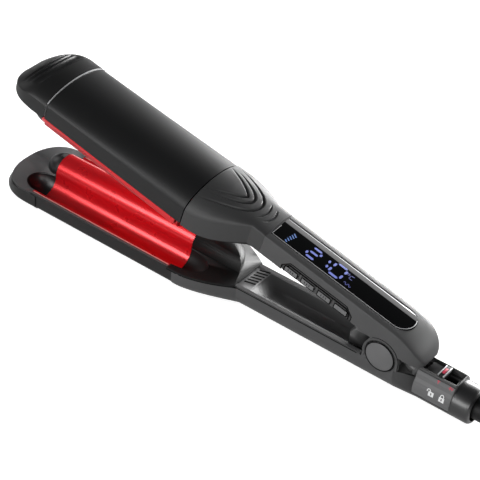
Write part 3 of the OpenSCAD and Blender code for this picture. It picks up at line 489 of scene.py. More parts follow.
# the other finishes: colour, shade, roughness, rest
PLAIN = {
    # painted highlight: the pale pink of the light that the plates' rims catch
    "plate_rim": ((0.95, 0.5, 0.46), (0.9, 0.42, 0.38), (0.3, 0.36),
                  {"mottle": 200, "metallic": 0.4, "specular": 0.6}),
    "black_satin": ((0.012, 0.012, 0.0125), (0.009, 0.009, 0.0095), (0.36, 0.44), FINE),
    "bright_line": ((0.7, 0.7, 0.71), (0.6, 0.6, 0.61), (0.36, 0.46),
                    {"grain": 4000, "metallic": 0.5, "specular": 0.6}),
    "gloss_black": ((0.001, 0.001, 0.0012), (0.0008, 0.0008, 0.001), (0.03, 0.05), {**GLOSS, "grain": 600}),
    "soft_gloss": ((0.016, 0.016, 0.0165), (0.013, 0.013, 0.0135), (0.28, 0.32), {**GLOSS, "specular": 1.0}),
    "bowl_black": ((0.008, 0.008, 0.0085), (0.006, 0.006, 0.0065), (0.33, 0.38), {**GLOSS, "specular": 0.6}),
    "gap_black": ((0.0015, 0.0015, 0.0015), (0.001, 0.001, 0.001), (0.5, 0.6), {"specular": 0.08}),
    "quiet_black": ((0.006, 0.006, 0.006), (0.005, 0.005, 0.005), (0.46, 0.54),
                    {"grain": 2600, "depth": 3e-6, "specular": 0.26}),
    "button_grey": ((0.17, 0.17, 0.172), (0.15, 0.15, 0.152), (0.4, 0.5), {"grain": 2800, "depth": 4e-6}),
    "red_mark": ((0.72, 0.05, 0.1), (0.6, 0.04, 0.08), (0.35, 0.45), {"mottle": 400}),
    "mark_white": ((0.95, 0.95, 0.95), (0.9, 0.9, 0.9), (0.4, 0.5), {"mottle": 500}),
    "cord_rubber": ((0.012, 0.012, 0.013), (0.008, 0.008, 0.009), (0.32, 0.44), {"grain": 1800, "depth": 2e-5}),
    "steel": ((0.45, 0.45, 0.47), (0.36, 0.36, 0.38), (0.24, 0.36), {"grain": 3500, "metallic": 1.0}),
    "contact_metal": ((0.62, 0.58, 0.5), (0.5, 0.46, 0.4), (0.2, 0.32), {"grain": 3500, "metallic": 1.0}),
    "heat_proof_plastic": ((0.26, 0.25, 0.22), (0.2, 0.19, 0.17), (0.5, 0.62), {"grain": 1500, "depth": 3e-5}),
    "ceramic_heater": ((0.68, 0.63, 0.52), (0.58, 0.53, 0.44), (0.6, 0.72), {"grain": 1200, "depth": 3e-5}),
    "copper_sensor": ((0.62, 0.28, 0.14), (0.45, 0.2, 0.1), (0.28, 0.4), {"metallic": 1.0}),
    "board_green": ((0.02, 0.13, 0.06), (0.015, 0.1, 0.045), (0.35, 0.45), {"mottle": 300}),
    "module_dark": ((0.014, 0.015, 0.018), (0.01, 0.011, 0.014), (0.4, 0.5), {"mottle": 200}),
    "bush_plastic": ((0.16, 0.16, 0.165), (0.12, 0.12, 0.125), (0.45, 0.55), {}),
}

LIT = {"lit_figures": (0.2, 0.24, 0.62), "dim_figures": (0.07, 0.075, 0.2), "bar_figures": (0.11, 0.2, 0.42)}


def finish(look):
    """The material of a slot of the record, or of a look of its own."""
    if look in LIT:
        return glow(look, LIT[look])
    if look in PLAIN:
        colour, shade, rough, rest = PLAIN[look]
    else:
        source, for_colour, for_shade, rough, rest = TINTED[look]
        tint = getattr(bpy.context.scene.waver_looks, source)
        colour, shade = ([v * share for v in tint] for share in (for_colour, for_shade))
    return moulded(look, colour, shade, rough, **rest)


SLOTS_OF_PLAIN_NODES = {
    "heat_proof_plastic": ["lower_heater_carrier", "upper_heater_carrier"],
    "ceramic_heater": ["lower_heater", "upper_heater"],
    "copper_sensor": ["lower_sensor", "upper_sensor"],
    "steel": ["casing_screws", "hinge_pin", "hinge_spring"],
    "module_dark": ["ion_generator", "display_module", "tact_switches"],
    "board_green": ["control_board"],
    "bush_plastic": ["swivel_bush", "latch_bar"],
    "contact_metal": ["plug_pins"],
    "cord_rubber": ["plug_body", "cord_tie"],
    "black_satin": ["upper_tip_insert", "upper_neck_insert", "upper_handle_cover", "hinge_knuckle"],
}


# ---------- carving of the upper arm ----------

def frame_outline(g):
    """Outline of the bezel round the keys in X and Z, made smaller by g."""
    foot, c = HANDLE_BASE_H - 1, FRAME_BEVEL
    return [(FRAME_X0 + g, foot), (FRAME_X1 - g, foot), (FRAME_X1 - g, FRAME_TOP - c), (FRAME_X1 - c, FRAME_TOP - g),
            (FRAME_X0 + c, FRAME_TOP - g), (FRAME_X0 + g, FRAME_TOP - c)]


def groove(distance, width, depth, power=1.5):
    """Depth of a groove at a distance from its middle. A low power makes crisp rims."""
    t = abs(distance) / (width / 2)
    return 0.0 if t >= 1 else depth * (1 - t * t) ** power


# grip ribs: place from the pin, width, depth
TIP_RIBS = [(277.2, 2.6, 1.0), (273.5, 2.8, 1.2), (268.6, 5.2, 1.3)]


def rib_carving(x, y):
    """Grip ribs across the tip cap."""
    fade = clamp01((22.5 - abs(y - 1)) / 7)
    bend = 0.0045 * y * y
    return sum(groove(x + place + bend, width, depth, 0.8) for place, width, depth in TIP_RIBS) * fade


# grooves of the neck: apex, factor and power of the curve, half span, width, depth
V_GROOVES = [(-119.2, 0.545, 1.438, 13.6, 2.0, 1.5), (-114.8, 0.0915, 2.08, 14.0, 2.2, 1.6),
             (-109.0, 0.0308, 2.33, 19.6, 2.2, 1.6), (-103.6, 0.042, 2.0, 8.4, 1.5, 1.1),
             (-98.7, 0.05, 2.0, 7.4, 1.4, 1.0)]


def neck_carving(x, y):
    """Nested grooves that run back from the handle, and two crescents before them."""
    depth = 0.0
    for apex, a, p, end, width, deep in V_GROOVES:
        v = abs(y)
        if v >= end:
            continue
        g = x - apex + a * v ** p
        slope = a * p * v ** (p - 1) if v else 0.0
        away = g / math.sqrt(1 + slope * slope)
        fade = clamp01((end - v) / (0.55 * end))
        depth = max(depth, groove(away, width * (0.45 + 0.55 * fade), deep * fade))
    return depth


def upper_shell(name, xs, w_of, crown_drop, n, carving=None, base=None):
    """A shell of the upper arm, with its outside carved if asked."""
    rings = []
    for x in xs:
        b = u_base(x) if base is None else base
        section = arch_shell(w_of(x), b, u_side(x), u_crown(x) - crown_drop, u_exp(x), WALL, n)
        if carving:
            for i in range(1, n + 2):
                section[i, 1] -= carving(x, section[i, 0])
        rings.append(ring(x, section))
    return loft(name, rings, upper_place)


# ---------- pieces ----------

class PieceOperator:
    """Base of the operators that build a group of pieces."""

    bl_options = {"REGISTER", "UNDO"}

    def execute(self, context):
        self.build(context.scene.waver_sizes)
        return {"FINISHED"}


FLOOR_SEEN = 0.8  # glow of the floor to the camera
FLOOR_IN_METAL = 0.25  # glow of the floor in what shines
FLOOR_HALF, FLOOR_DROP = 3.0, 0.0002  # metres

# name, place, aim and size in metres, power in watts
LAMPS = [
    ("lamp_far", (0.14, 0.743, 0.154), (0.084, 0, 0.03), (0.3, 0.3), 8),
    ("lamp_far_head", (-0.13, 0.743, 0.154), (-0.078, 0, 0.03), (0.3, 0.3), 4),
    ("lamp_far_right", (0.62, 0.56, 0.24), (0.115, 0, 0.037), (0.25, 0.25), 2.0),
    ("lamp_far_sheet", (0.08, 1.5, 0.75), (0.05, 0, 0.05), (1.05, 0.72), 6.5),
    ("lamp_near_right", (0.42, -0.7, 0.26), (0.25, 0, 0.03), (0.3, 0.3), 1.6),
    ("lamp_near_mid", (-0.06, -0.75, 0.22), (0.05, 0, 0.02), (0.3, 0.3), 1.4),
    ("lamp_near_left", (-0.42, -0.64, 0.44), (-0.15, 0, 0.03), (0.3, 0.3), 2.4),
    ("lamp_left", (-2.0, 0, 0.9), (0, 0, 0), (0.9, 0.9), 4),
]


def floor_material():
    """Pale floor that stays near white to the camera and keeps a soft shadow."""
    material = bpy.data.materials.new("pale_floor")
    material.use_nodes = True
    tree = material.node_tree
    shader = tree.nodes["Principled BSDF"]
    path, lit, add, seen, shown = shader_nodes(tree, "LightPath", "Emission", "AddShader", "Math", "Math")
    seen.operation = shown.operation = "MULTIPLY_ADD"
    preset(shader, {"Base Color": (0.7, 0.7, 0.7, 1), "Roughness": 0.9, "Specular IOR Level": 0.0})
    preset(seen, {1: FLOOR_SEEN, 2: 0.0})
    preset(shown, {1: FLOOR_IN_METAL})
    wire(tree,
         (path, "Is Camera Ray", seen, 0), (path, "Is Glossy Ray", shown, 0), (seen, "Value", shown, 2),
         (shown, "Value", lit, "Strength"), (shader, "BSDF", add, 0), (lit, "Emission", add, 1),
         (add, "Shader", tree.nodes["Material Output"], "Surface"))
    return material


def surroundings():
    """White to the camera. To everything else a pale wall all round with a dim ceiling."""
    world = bpy.data.worlds.new("surroundings")
    world.use_nodes = True
    tree = world.node_tree
    room = tree.nodes["Background"]
    where, parts, wall, white, mix, path = shader_nodes(tree, "TexCoord", "SeparateXYZ", "MapRange", "Background",
                                                        "MixShader", "LightPath")
    wall.interpolation_type = "SMOOTHSTEP"
    preset(room, {"Color": (0.94, 0.97, 1.0, 1)})
    preset(wall, {"From Min": 0.28, "From Max": 0.62, "To Min": 0.05, "To Max": 0.08})
    preset(white, {"Color": (1, 1, 1, 1), "Strength": 1.0})
    wire(tree,
         (where, "Generated", parts, "Vector"), (parts, "Z", wall, "Value"), (wall, "Result", room, "Strength"),
         (path, "Is Camera Ray", mix, "Fac"), (room, "Background", mix, 1), (white, "Background", mix, 2),
         (mix, "Shader", tree.nodes["World Output"], "Surface"))
    return world


class WAVER_OT_stage(PieceOperator, bpy.types.Operator):
    """Camera, floor, soft lamps and pale surroundings"""

    bl_idname = "waver.stage"
    bl_label = "Stage"

    def build(self, sizes):
        scene = bpy.context.scene
        scene.view_settings.view_transform = "Standard"
        data = bpy.data.cameras.new("camera")
        data.lens, data.sensor_width, data.clip_start, data.clip_end = 131.73, 36, 0.05, 20
        camera = bpy.data.objects.new("camera", data)
        scene.collection.objects.link(camera)
        # the camera's own axes, then its place in metres
        right = Vector((0.79451049, 0.60325924, 0.06950801))
        up = Vector((-0.41595491, 0.45725388, 0.78606641))
        back = Vector((0.44241902, -0.65345021, 0.61422165))
        turn = Matrix((right, up, back)).transposed().to_4x4()
        turn.translation = Vector((0.4490, -0.6934, 0.6929))
        camera.matrix_world = turn
        scene.camera = camera

        mesh = bpy.data.meshes.new("floor")
        s = FLOOR_HALF
        mesh.from_pydata([(-s, -s, 0), (s, -s, 0), (s, s, 0), (-s, s, 0)], [], [(0, 1, 2, 3)])
        floor = new_piece("floor", mesh)
        floor.location.z = -FLOOR_DROP
        floor.data.materials.append(floor_material())
        scene.world = surroundings()
        for name, place, aim, size, power in LAMPS:
            light = bpy.data.lights.new(name, "AREA")
            light.shape, light.size, light.size_y, light.energy = "RECTANGLE", *size, power
            lamp = bpy.data.objects.new(name, light)
            scene.collection.objects.link(lamp)
            lamp.location = place
            lamp.rotation_mode = "QUATERNION"
            lamp.rotation_quaternion = (Vector(aim) - Vector(place)).to_track_quat("-Z", "Y")


def blend(t, a, b):
    """Smooth step from 0 before a to 1 after b."""
    s = clamp01((t - a) / (b - a))
    return s * s * (3 - 2 * s)


def hermite(p0, d0, p1, d1, n):
    """Points in X and Y on the way from p0 to p1, which leaves along d0 and arrives along d1."""
    out = []
    for i in range(1, n + 1):
        t = i / n
        h = (2 * t ** 3 - 3 * t ** 2 + 1, t ** 3 - 2 * t ** 2 + t, -2 * t ** 3 + 3 * t ** 2, t ** 3 - t ** 2)
        out.append([h[0] * p0[k] + h[1] * d0[k] + h[2] * p1[k] + h[3] * d1[k] for k in range(2)])
    return out


def cord_route():
    """The cord's middle line: out, down to the table, into a coil of two columns, and on to the plug."""
    z0, d, start = CORD_D / 2, CORD_D, TAIL_REACH
    drop = [(0, COLLAR_R), (3, COLLAR_R), (10, 11.1), (20, 9), (31, 6), (42, 4), (54, z0)]
    r_in, r_out = COIL_R - d / 2, COIL_R + d / 2
    way = [[start + x, 0] for x in (0.1, 3, 10, 16)]
    way += hermite([start + 16, 0], [40, 0], [COIL_X, COIL_Y - r_in], [55, 0], 10)
    points = [[x, y, ramp(x - start, drop)] for x, y in way]
    degree = 270 + 12
    over, last = 15 + 360 * COIL_LAYERS, 100 + 360 * (2 * COIL_LAYERS - 1)
    while degree <= last:
        up = sum(blend(degree, 520 + 360 * k, 590 + 360 * k) for k in range(COIL_LAYERS - 1))
        down = sum(blend(degree, over + 300 + 360 * k, over + 360 + 360 * k) for k in range(COIL_LAYERS - 1))
        r = r_in + (r_out - r_in) * blend(degree, over, over + 93)
        a = math.radians(degree)
        points.append([COIL_X + r * math.cos(a), COIL_Y + r * math.sin(a), z0 + d * (up - down)])
        degree += 8 if degree + 8 <= last or degree == last else last - degree
    end = hermite(points[-1], [-35 * math.sin(a), 35 * math.cos(a)], [PLUG_X + 2, PLUG_Y], [-15, 0], 7)
    points += [[x, y, z0 + (BOSS_R - z0) * blend(i, 3, 7)] for i, (x, y) in enumerate(end, 1)]
    return points + [[PLUG_X + 0.1, PLUG_Y, BOSS_R]]


class WAVER_OT_cord(PieceOperator, bpy.types.Operator):
    """The mains cord, laid from the strain relief to its coil and plug"""

    bl_idname = "waver.cord"
    bl_label = "Cord"

    def build(self, sizes):
        route = lower_place(cord_route())
        curve = bpy.data.curves.new("cord", "CURVE")
        curve.dimensions = "3D"
        curve.resolution_u = 4
        spline = curve.splines.new("BEZIER")
        spline.bezier_points.add(len(route) - 1)
        for point, place in zip(spline.bezier_points, route):
            point.co = place
            point.handle_left_type = point.handle_right_type = "AUTO"
        curve.bevel_depth, curve.bevel_resolution, curve.use_fill_caps = CORD_D / 2000, 5, True
        cord = bpy.data.objects.new("cord", curve)
        bpy.context.scene.collection.objects.link(cord)
        keep(cord, "lower_arm", "cord_rubber", ["cord_lead", "cord_coil", "cord_end"])


class WAVER_OT_upper_casing(PieceOperator, bpy.types.Operator):
    """Tip cap, head panel, neck cover and handle shell of the upper arm"""

    bl_idname = "waver.upper_casing"
    bl_label = "Upper casing"

    def build(self, sizes):
        # tip cap with its grip ribs
        tip = [x for x in nose_stations(46) if x < -280] + list(np.arange(-280, -262, 0.28))
        rings = []
        for x in sorted(set(np.round(tip + [-262, -260, -258, X_SEAM], 4))):
            section = arch(half_w(x, HALF_HEAD), u_base(x), u_side(x), u_crown(x), u_exp(x), 96)
            for i in range(1, len(section) - 1):
                section[i, 1] -= rib_carving(x, section[i, 0])
            rings.append(ring(x, section))
        cap = loft("tip_cap_upper", rings, upper_place, 40)
        pocket = PANEL_HALF - WALL
        cut(cap, [egg(X_PLATE0, 7.3, 19.7, WAVE_R + WAVE_CLEAR + PLATE_T + RUN, 15.4, upper_place),
                  block((X_PLATE0, -pocket, 0), (X_SEAM + 1, pocket, SIDE_H + 1), upper_place)], 40)
        keep(cap, "upper_arm", "soft_grey_casing", "upper_tip_cap", "soft_black_casing")

        # bright line behind the cap, dark where it turns down the flanks
        section = arch_shell(HALF_HEAD, BAND_H + 2, u_side(X_SEAM), u_crown(X_SEAM), u_exp(X_SEAM), 1.2, 96)
        trim = loft("cap_trim", [ring(X_SEAM + FIT, section), ring(X_SEAM + 0.7, section)], upper_place)
        keep(trim, "upper_arm", "silver_trim", "upper_cap_trim", "bright_line")
        second_finish(trim, "black_satin", lambda face: abs(face.center.y) * 1000 > HALF_HEAD - 1.6)

        panel = upper_shell("head_panel_upper", stations((X_SEAM + 0.8, X_SEAM_NECK - 0.3, 16)),
                            lambda x: PANEL_HALF, PANEL_INSET, 96, base=BAND_H)
        keep(panel, "upper_arm", "dark_head_panel", "upper_head_panel")
        neck = upper_shell("neck_cover_upper", stations((X_SEAM_NECK + 0.7, -137, 18), (-137, X_LENS, 125)),
                           lambda x: half_w(x, HALF_HEAD), 0.0, 170, neck_carving)
        keep(neck, "upper_arm", "soft_grey_casing", "upper_neck_cover", "neck_grey")

        # handle shell with its rounded butt, lens seat, hinge arcs and button window
        xs = stations((X_LENS + FIT, 0, 40), (0, 10, 8)) + [
            12, 13.5, 15, 16.3, 17.5, 18.6, 19.6, 20.5, 21.3, 22, 22.6, 23.1, 23.5, 23.9, 24.2, 24.4, 24.5, X_BUTT]
        rings = [ring(x, arch(butt_w(x), butt_base(x), butt_side(x), butt_top(x), 0.35, 72)) for x in xs]
        shell = loft("handle_shell_upper", rings, upper_place, 36)
        inside = arch(HALF_GRIP - WALL, HANDLE_BASE_H - 1, HANDLE_SIDE_H - 0.4, HANDLE_TOP_H - WALL, 0.35, 40)
        r = LENS_W / 2

        def lens_outline(grow):
            a = np.linspace(-math.pi / 2, math.pi / 2, 40)
            end = np.stack([LENS_END_X - r + (r + grow) * np.cos(a), (r + grow) * np.sin(a)], axis=1)
            return np.concatenate([[[LENS_X0 - grow, -r - grow]], end, [[LENS_X0 - grow, r + grow]]])

        cutters = [prism(inside, X_LENS - 1, 8, 0, upper_place),
                   prism(lens_outline(FIT), HANDLE_TOP_H - LENS_T, HANDLE_TOP_H + 8, 2, upper_place),
                   prism(lens_outline(-1.2), HANDLE_TOP_H - 8, HANDLE_TOP_H + 2, 2, upper_place),
                   prism(frame_outline(0), -20, -HALF_GRIP + WALL + 1, 1, upper_place)]
        for s in (-1, 1):
            ear = s * (EAR_Y + 1)
            cutters.append(prism(pin_circle(EAR_R + RUN), ear - EAR_T - 1.4, ear + EAR_T + 1.4, 1, upper_place))
        cut(shell, cutters, 36)
        keep(shell, "upper_arm", "soft_grey_casing", "upper_handle_shell")


class WAVER_OT_lower_casing(PieceOperator, bpy.types.Operator):
    """Tip cap, head panel, handle shell and lids of the lower arm"""

    bl_idname = "waver.lower_casing"
    bl_label = "Lower casing"

    def build(self, sizes):
        x_lip = X_TIP + 3

        def reach(x):
            """How far the lip reaches in from the flank."""
            if x < x_lip + 0.6:
                return half_w(x, HALF_HEAD) - 2
            return max(0.3, half_w(x, HALF_HEAD) - nose_w(x, HALF_HEAD, x_lip, 22, 2.3) - 0.4)

        rings = []
        for x in nose_stations(36) + [-262, -258.5, X_SEAM]:
            w = half_w(x, HALF_HEAD)
            c = min(reach(x), w - 0.5)
            top = SHELL_TOP - 3.6 * clamp01((x_lip + 0.6 - x) / 3.6) ** 1.5
            side = HEAD_SIDE_H + 1 - nose_t(x)
            shoulder = max(side + 1, top - min(5, 0.3 + 1.4 * (reach(x) - 0.3)))
            section = np.concatenate([[[-w, shoulder], [-w + c, top], [w - c, top], [w, shoulder]],
                                      keel(w, side, 7 * (1 - nose_t(x)) ** 3, HEAD_E, 60)])
            rings.append(ring(x, section))
        cap = loft("tip_cap_lower", rings, lower_place, 36)
        pocket = PANEL_HALF - WALL
        cut(cap, [egg(X_PLATE0, -13.3, LIP_H, WAVE_R + PLATE_T + RUN, 14.6, lower_place),
                  block((X_PLATE0, -pocket, WALL + 2), (X_SEAM + 1, pocket, LIP_H + 1), lower_place)], 36)
        keep(cap, "lower_arm", "soft_grey_casing", "lower_tip_cap", "soft_black_casing")

        section = keel_shell(PANEL_HALF, SHELL_TOP, HEAD_SIDE_H, HEAD_E, WALL, 60)
        ends = (X_SEAM + FIT, X_SEAM_NECK - FIT)
        keep(loft("head_panel_lower", [ring(x, section) for x in ends], lower_place),
             "lower_arm", "dark_head_panel", "lower_head_panel")

        xs = stations((X_SEAM_NECK, X_NECK - TAPER_L, 2), (X_NECK - TAPER_L, X_NECK, 30), (X_NECK, 10, 12))
        rings = [ring(x, keel_shell(half_w(x, HALF_HEAD), SHELL_TOP, l_side(x), l_exp(x), WALL, 60)) for x in xs]
        shell = loft("handle_shell_lower", rings, lower_place)
        cut(shell, [prism(pin_circle(CAP_R + RUN), *sorted((s * (EAR_Y - 1.3), s * (EAR_Y + 8))), 1, lower_place)
                    for s in (-1, 1)])
        keep(shell, "lower_arm", "soft_grey_casing", "lower_handle_shell")
        # Painted shade: the inner walls and floor of the shell, seen through the outlets, are made black for the
        # shade of the hollow.
        second_finish(shell, "black_satin", lambda face: face.normal.y * face.center.y < -1e-6 or
                      (face.normal.z > 0.5 and face.center.z * 1000 < SHELL_TOP - 1))

        inner = refined("lower_inner_frame", "lower_arm", "black_satin", 28, look="bowl_black")
        # Painted light: the flat top of the lip, which faces up, gets a lighter grey than the rest of the frame.
        second_finish(inner, "lip_grey", lambda face: face.normal.z > 0.98 and face.center.z * 1000 > LIP_H - 0.05)
        refined("lower_neck_fairing", "lower_arm", "black_satin", 28, look="quiet_black")
        edge = [(x, SHELL_TOP) for x in np.linspace(X_PLATE1, -15.5, 40)]
        tiles("rim_gap", bars(edge, 0.7), lambda x, z: ((x, -half_w(x, HALF_HEAD), z), (0, -1, 0)),
              "lower_arm", "black_satin", "gap_black")
        cover = refined("lower_handle_cover", "lower_arm", "black_satin", 28, look="dish_grey")
        # Painted light: the flat top faces of the cover get the same lighter grey.
        second_finish(cover, "lip_grey", lambda face: face.normal.z > 0.98 and face.center.z * 1000 > 17.8)
        lean, long, wide, slots = math.radians(19), 7.2, 1.3, []
        for i in range(6):
            x, y = X_NECK + 0.5 + 0.13 * i, -6.1 + 2.94 * i
            slots.append(stroke(x, y, x + long * math.cos(lean), y + long * math.sin(lean), wide))
        tiles("ion_louvres", slots, lambda x, y: ((x, y, 18.3 - 0.042 * (x + 105)), (0.042, 0, 1)),
              "lower_arm", "black_satin", "gap_black")


class WAVER_OT_plates(PieceOperator, bpy.types.Operator):
    """Red waved plates of both arms"""

    bl_idname = "waver.plates"
    bl_label = "Plates"

    def build(self, sizes):
        for arm in ("lower", "upper"):
            refined(arm + "_wave_plate", arm + "_arm", "red_ceramic", 28)
        # Painted highlights: pale pink strips along the near and far rims of the lower plate stand in for the light
        # that the rims catch.
        edge, short = PANEL_HALF - 2.1, 0.6
        rims = [stroke(X_PLATE0 + short, y, X_PLATE1 - short, y, 0.8) for y in (-edge, edge)]
        tiles("plate_rims", rims, lambda x, y: ((x, y, LIP_H), (0, 0, 1)), "lower_arm", "red_ceramic", "plate_rim")


class WAVER_OT_hinge(PieceOperator, bpy.types.Operator):
    """Hinge yoke and its two round caps"""

    bl_idname = "waver.hinge"
    bl_label = "Hinge"

    def build(self, sizes):
        refined("hinge_yoke", "lower_arm", "soft_grey_casing", 28)
        for cap in ("hinge_cap_near", "hinge_cap_far"):
            refined(cap, "lower_arm", "soft_grey_casing", 28, look="light_grey_casing")
        for side in (-1, 1):
            tiles("hinge_cap_gap", ring_outline(0, HINGE_Z, CAP_R - 0.35, 0.75, 56),
                  lambda x, z, side=side: ((x, side * CAP_FACE_Y, z), (0, side, 0)),
                  "lower_arm", "black_satin", "gap_black")


class WAVER_OT_tail(PieceOperator, bpy.types.Operator):
    """Tail housing, lock panel, slider and swivel collar"""

    bl_idname = "waver.tail"
    bl_label = "Tail and lock"

    def build(self, sizes):
        tail = refined("tail_housing", "lower_arm", "soft_grey_casing", look="tail_grey")
        # Painted shade: the faces of the tail housing that point up are made black, for the shade that falls on them
        # between the arms.
        second_finish(tail, "quiet_black", lambda face: face.normal.z > 0.9)
        refined("lock_panel", "lower_arm", "soft_grey_casing", look="light_grey_casing")
        refined("lock_slider", "lock", "black_satin", bevel=0.25)
        refined("slider_bar", "lock", "silver_trim", bevel=0.12, look="bright_line")
        refined("slider_pointer", "lock", "red_mark", bevel=0.12)
        refined("swivel_collar", "lower_arm", "gloss_black", 28, look="soft_gloss")
        icons = padlock(34.9, 0.9, 1.5) + padlock(42.0, 0.7, 0)
        joint = [stroke(22.5, -4.0, 47.4, -4.0, 0.5), stroke(22.6, -4.0, 22.6, 7.4, 0.4)]
        ticks = [stroke(36.6, 10.4, 36.6, 12.3, 0.6), stroke(35.7, 12.0, 37.6, 12.0, 0.45),
                 stroke(44.6, 10.4, 44.6, 12.3, 0.6), stroke(43.5, 11.3, 46.6, 11.3, 0.4),
                 stroke(46.0, 10.4, 46.0, 12.2, 0.45)]
        tiles("lock_icons", icons, on_lock_panel, "lower_arm", "black_satin", "mark_white")
        tiles("lock_panel_gap", joint, on_lock_panel, "lower_arm", "black_satin", "gap_black")
        tiles("lock_ticks", ticks, on_lock_panel, "lower_arm", "red_mark")


def strain_relief_tree():
    """Geometry nodes: a tapered sleeve swept along X, with rings standing proud of it."""
    tree = bpy.data.node_groups.new("strain_relief", "GeometryNodeTree")
    add_inputs(tree, [("Length", "Float", 0.056), ("Root Radius", "Float", 0.0084), ("Tip Radius", "Float", 0.0046),
                      ("Rib Count", "Int", 7), ("Rib Depth", "Float", 0.0009), ("Material", "Material", None)])
    tree.interface.new_socket(name="Geometry", in_out="OUTPUT", socket_type="NodeSocketGeometry")
    new, link = tree.nodes.new, tree.links.new
    enter, leave = new("NodeGroupInput"), new("NodeGroupOutput")

    def maths(kind, a, b=None, c=None):
        node = new("ShaderNodeMath")
        node.operation = kind
        for socket, value in zip(node.inputs, (a, b, c)):
            if isinstance(value, (int, float)):
                socket.default_value = value
            elif value is not None:
                link(value, socket)
        return node.outputs[0]

    line, ends = new("GeometryNodeCurvePrimitiveLine"), new("ShaderNodeCombineXYZ")
    many, sized = new("GeometryNodeResampleCurve"), new("GeometryNodeSetCurveRadius")
    disc, sweep = new("GeometryNodeCurvePrimitiveCircle"), new("GeometryNodeCurveToMesh")
    real, coat = new("GeometryNodeRealizeInstances"), new("GeometryNodeSetMaterial")
    along = new("GeometryNodeSplineParameter").outputs["Factor"]
    preset(many, {"Count": 150})
    preset(disc, {"Resolution": 64, "Radius": 1.0})
    preset(sweep, {"Fill Caps": True})
    # taper from the collar, with a groove before each ring
    root = enter.outputs["Root Radius"]
    taper = maths("POWER", maths("MAXIMUM", maths("MULTIPLY_ADD", along, 1.37, -0.37), 0.0), 0.8)
    narrowing = maths("MULTIPLY", taper, maths("SUBTRACT", root, enter.outputs["Tip Radius"]))
    share = maths("DIVIDE", maths("SUBTRACT", along, 0.29), 0.63)
    wave = maths("FRACT", maths("MULTIPLY", share, enter.outputs["Rib Count"]))
    between = maths("MULTIPLY", maths("GREATER_THAN", along, 0.29), maths("LESS_THAN", along, 0.92))
    dip = maths("MULTIPLY", maths("GREATER_THAN", wave, 0.7), between)
    radius = maths("SUBTRACT", maths("SUBTRACT", root, narrowing), maths("MULTIPLY", dip, enter.outputs["Rib Depth"]))
    link(radius, sized.inputs["Radius"])
    if "Scale" in sweep.inputs:
        link(radius, sweep.inputs["Scale"])
    wire(tree,
         (enter, "Length", ends, "X"), (ends, "Vector", line, "End"), (line, "Curve", many, "Curve"),
         (many, "Curve", sized, "Curve"), (sized, "Curve", sweep, "Curve"), (disc, "Curve", sweep, "Profile Curve"),
         (sweep, "Mesh", real, "Geometry"), (real, "Geometry", coat, "Geometry"),
         (enter, "Material", coat, "Material"), (coat, "Geometry", leave, "Geometry"))
    return tree


def grown(name, tree, values):
    """A plain mesh made by a geometry node tree with the given inputs."""
    piece = new_piece(name, bpy.data.meshes.new(name))
    mod = piece.modifiers.new("grow", "NODES")
    mod.node_group = tree
    for item in tree.interface.items_tree:
        if item.in_out == "INPUT" and item.name in values:
            mod[item.identifier] = values[item.name]
    evaluated(piece)
    polish(piece.data)
    return piece


class WAVER_OT_strain_relief(PieceOperator, bpy.types.Operator):
    """Ribbed strain relief that swivels with the cord"""

    bl_idname = "waver.strain_relief"
    bl_label = "Strain relief"

    def build(self, sizes):
        start = 6.7  # millimetres of the sleeve that the collar hides
        piece = grown("strain_relief", strain_relief_tree(),
                      {"Length": (COLLAR_L + RELIEF_L - start) / 1000, "Root Radius": sizes.relief_root / 1000,
                       "Tip Radius": sizes.relief_tip / 1000, "Rib Count": sizes.relief_ribs,
                       "Material": finish("quiet_black")})
        place = Vector(((HINGE_X + TAIL_L + start) / 1000, 0, COLLAR_R / 1000))
        piece.data.transform(Matrix.Translation(place))
        outward(piece.data)
        keep(piece, "cord_swivel", "cord_rubber", "cord_relief", "quiet_black")


# ---------- display and controls ----------

def stroke(x0, y0, x1, y1, w):
    """Four corners of a bar from one point to another."""
    d = math.hypot(x1 - x0, y1 - y0)
    nx, ny = -(y1 - y0) / d * w / 2, (x1 - x0) / d * w / 2
    return [(x0 + nx, y0 + ny), (x1 + nx, y1 + ny), (x1 - nx, y1 - ny), (x0 - nx, y0 - ny)]


def bars(points, w):
    """Bars from each point to the next."""
    return [stroke(*a, *b, w) for a, b in zip(points, points[1:])]


def segment(x0, y0, x1, y1, w):
    """Pointed bar of a number display."""
    d = math.hypot(x1 - x0, y1 - y0)
    ux, uy = (x1 - x0) / d, (y1 - y0) / d
    nx, ny, h = -uy * w / 2, ux * w / 2, w / 2
    return [(x0, y0), (x0 + ux * h + nx, y0 + uy * h + ny), (x1 - ux * h + nx, y1 - uy * h + ny), (x1, y1),
            (x1 - ux * h - nx, y1 - uy * h - ny), (x0 + ux * h - nx, y0 + uy * h - ny)]


SEGMENT_W, SEGMENT_GAP = 1.5, 0.75
SEGMENT_ENDS = {"a": ((0, 1), (1, 1)), "b": ((1, 1), (1, 0.5)), "c": ((1, 0.5), (1, 0)), "d": ((0, 0), (1, 0)),
                "e": ((0, 0.5), (0, 0)), "f": ((0, 1), (0, 0.5)), "g": ((0, 0.5), (1, 0.5))}
SEGMENTS = {0: "abcdef", 1: "bc", 2: "abged"}


def digit(which, x0, y0, w, h, lean):
    """Segments of one figure, which reads along +X with its top at +Y."""
    out = []
    for s in SEGMENTS[which]:
        (ax, ay), (bx, by) = ((x0 + u * w - v * lean, y0 + v * h) for u, v in SEGMENT_ENDS[s])
        d = math.hypot(bx - ax, by - ay)
        ux, uy = (bx - ax) / d * SEGMENT_GAP, (by - ay) / d * SEGMENT_GAP
        out.append(segment(ax + ux, ay + uy, bx - ux, by - uy, SEGMENT_W))
    return out


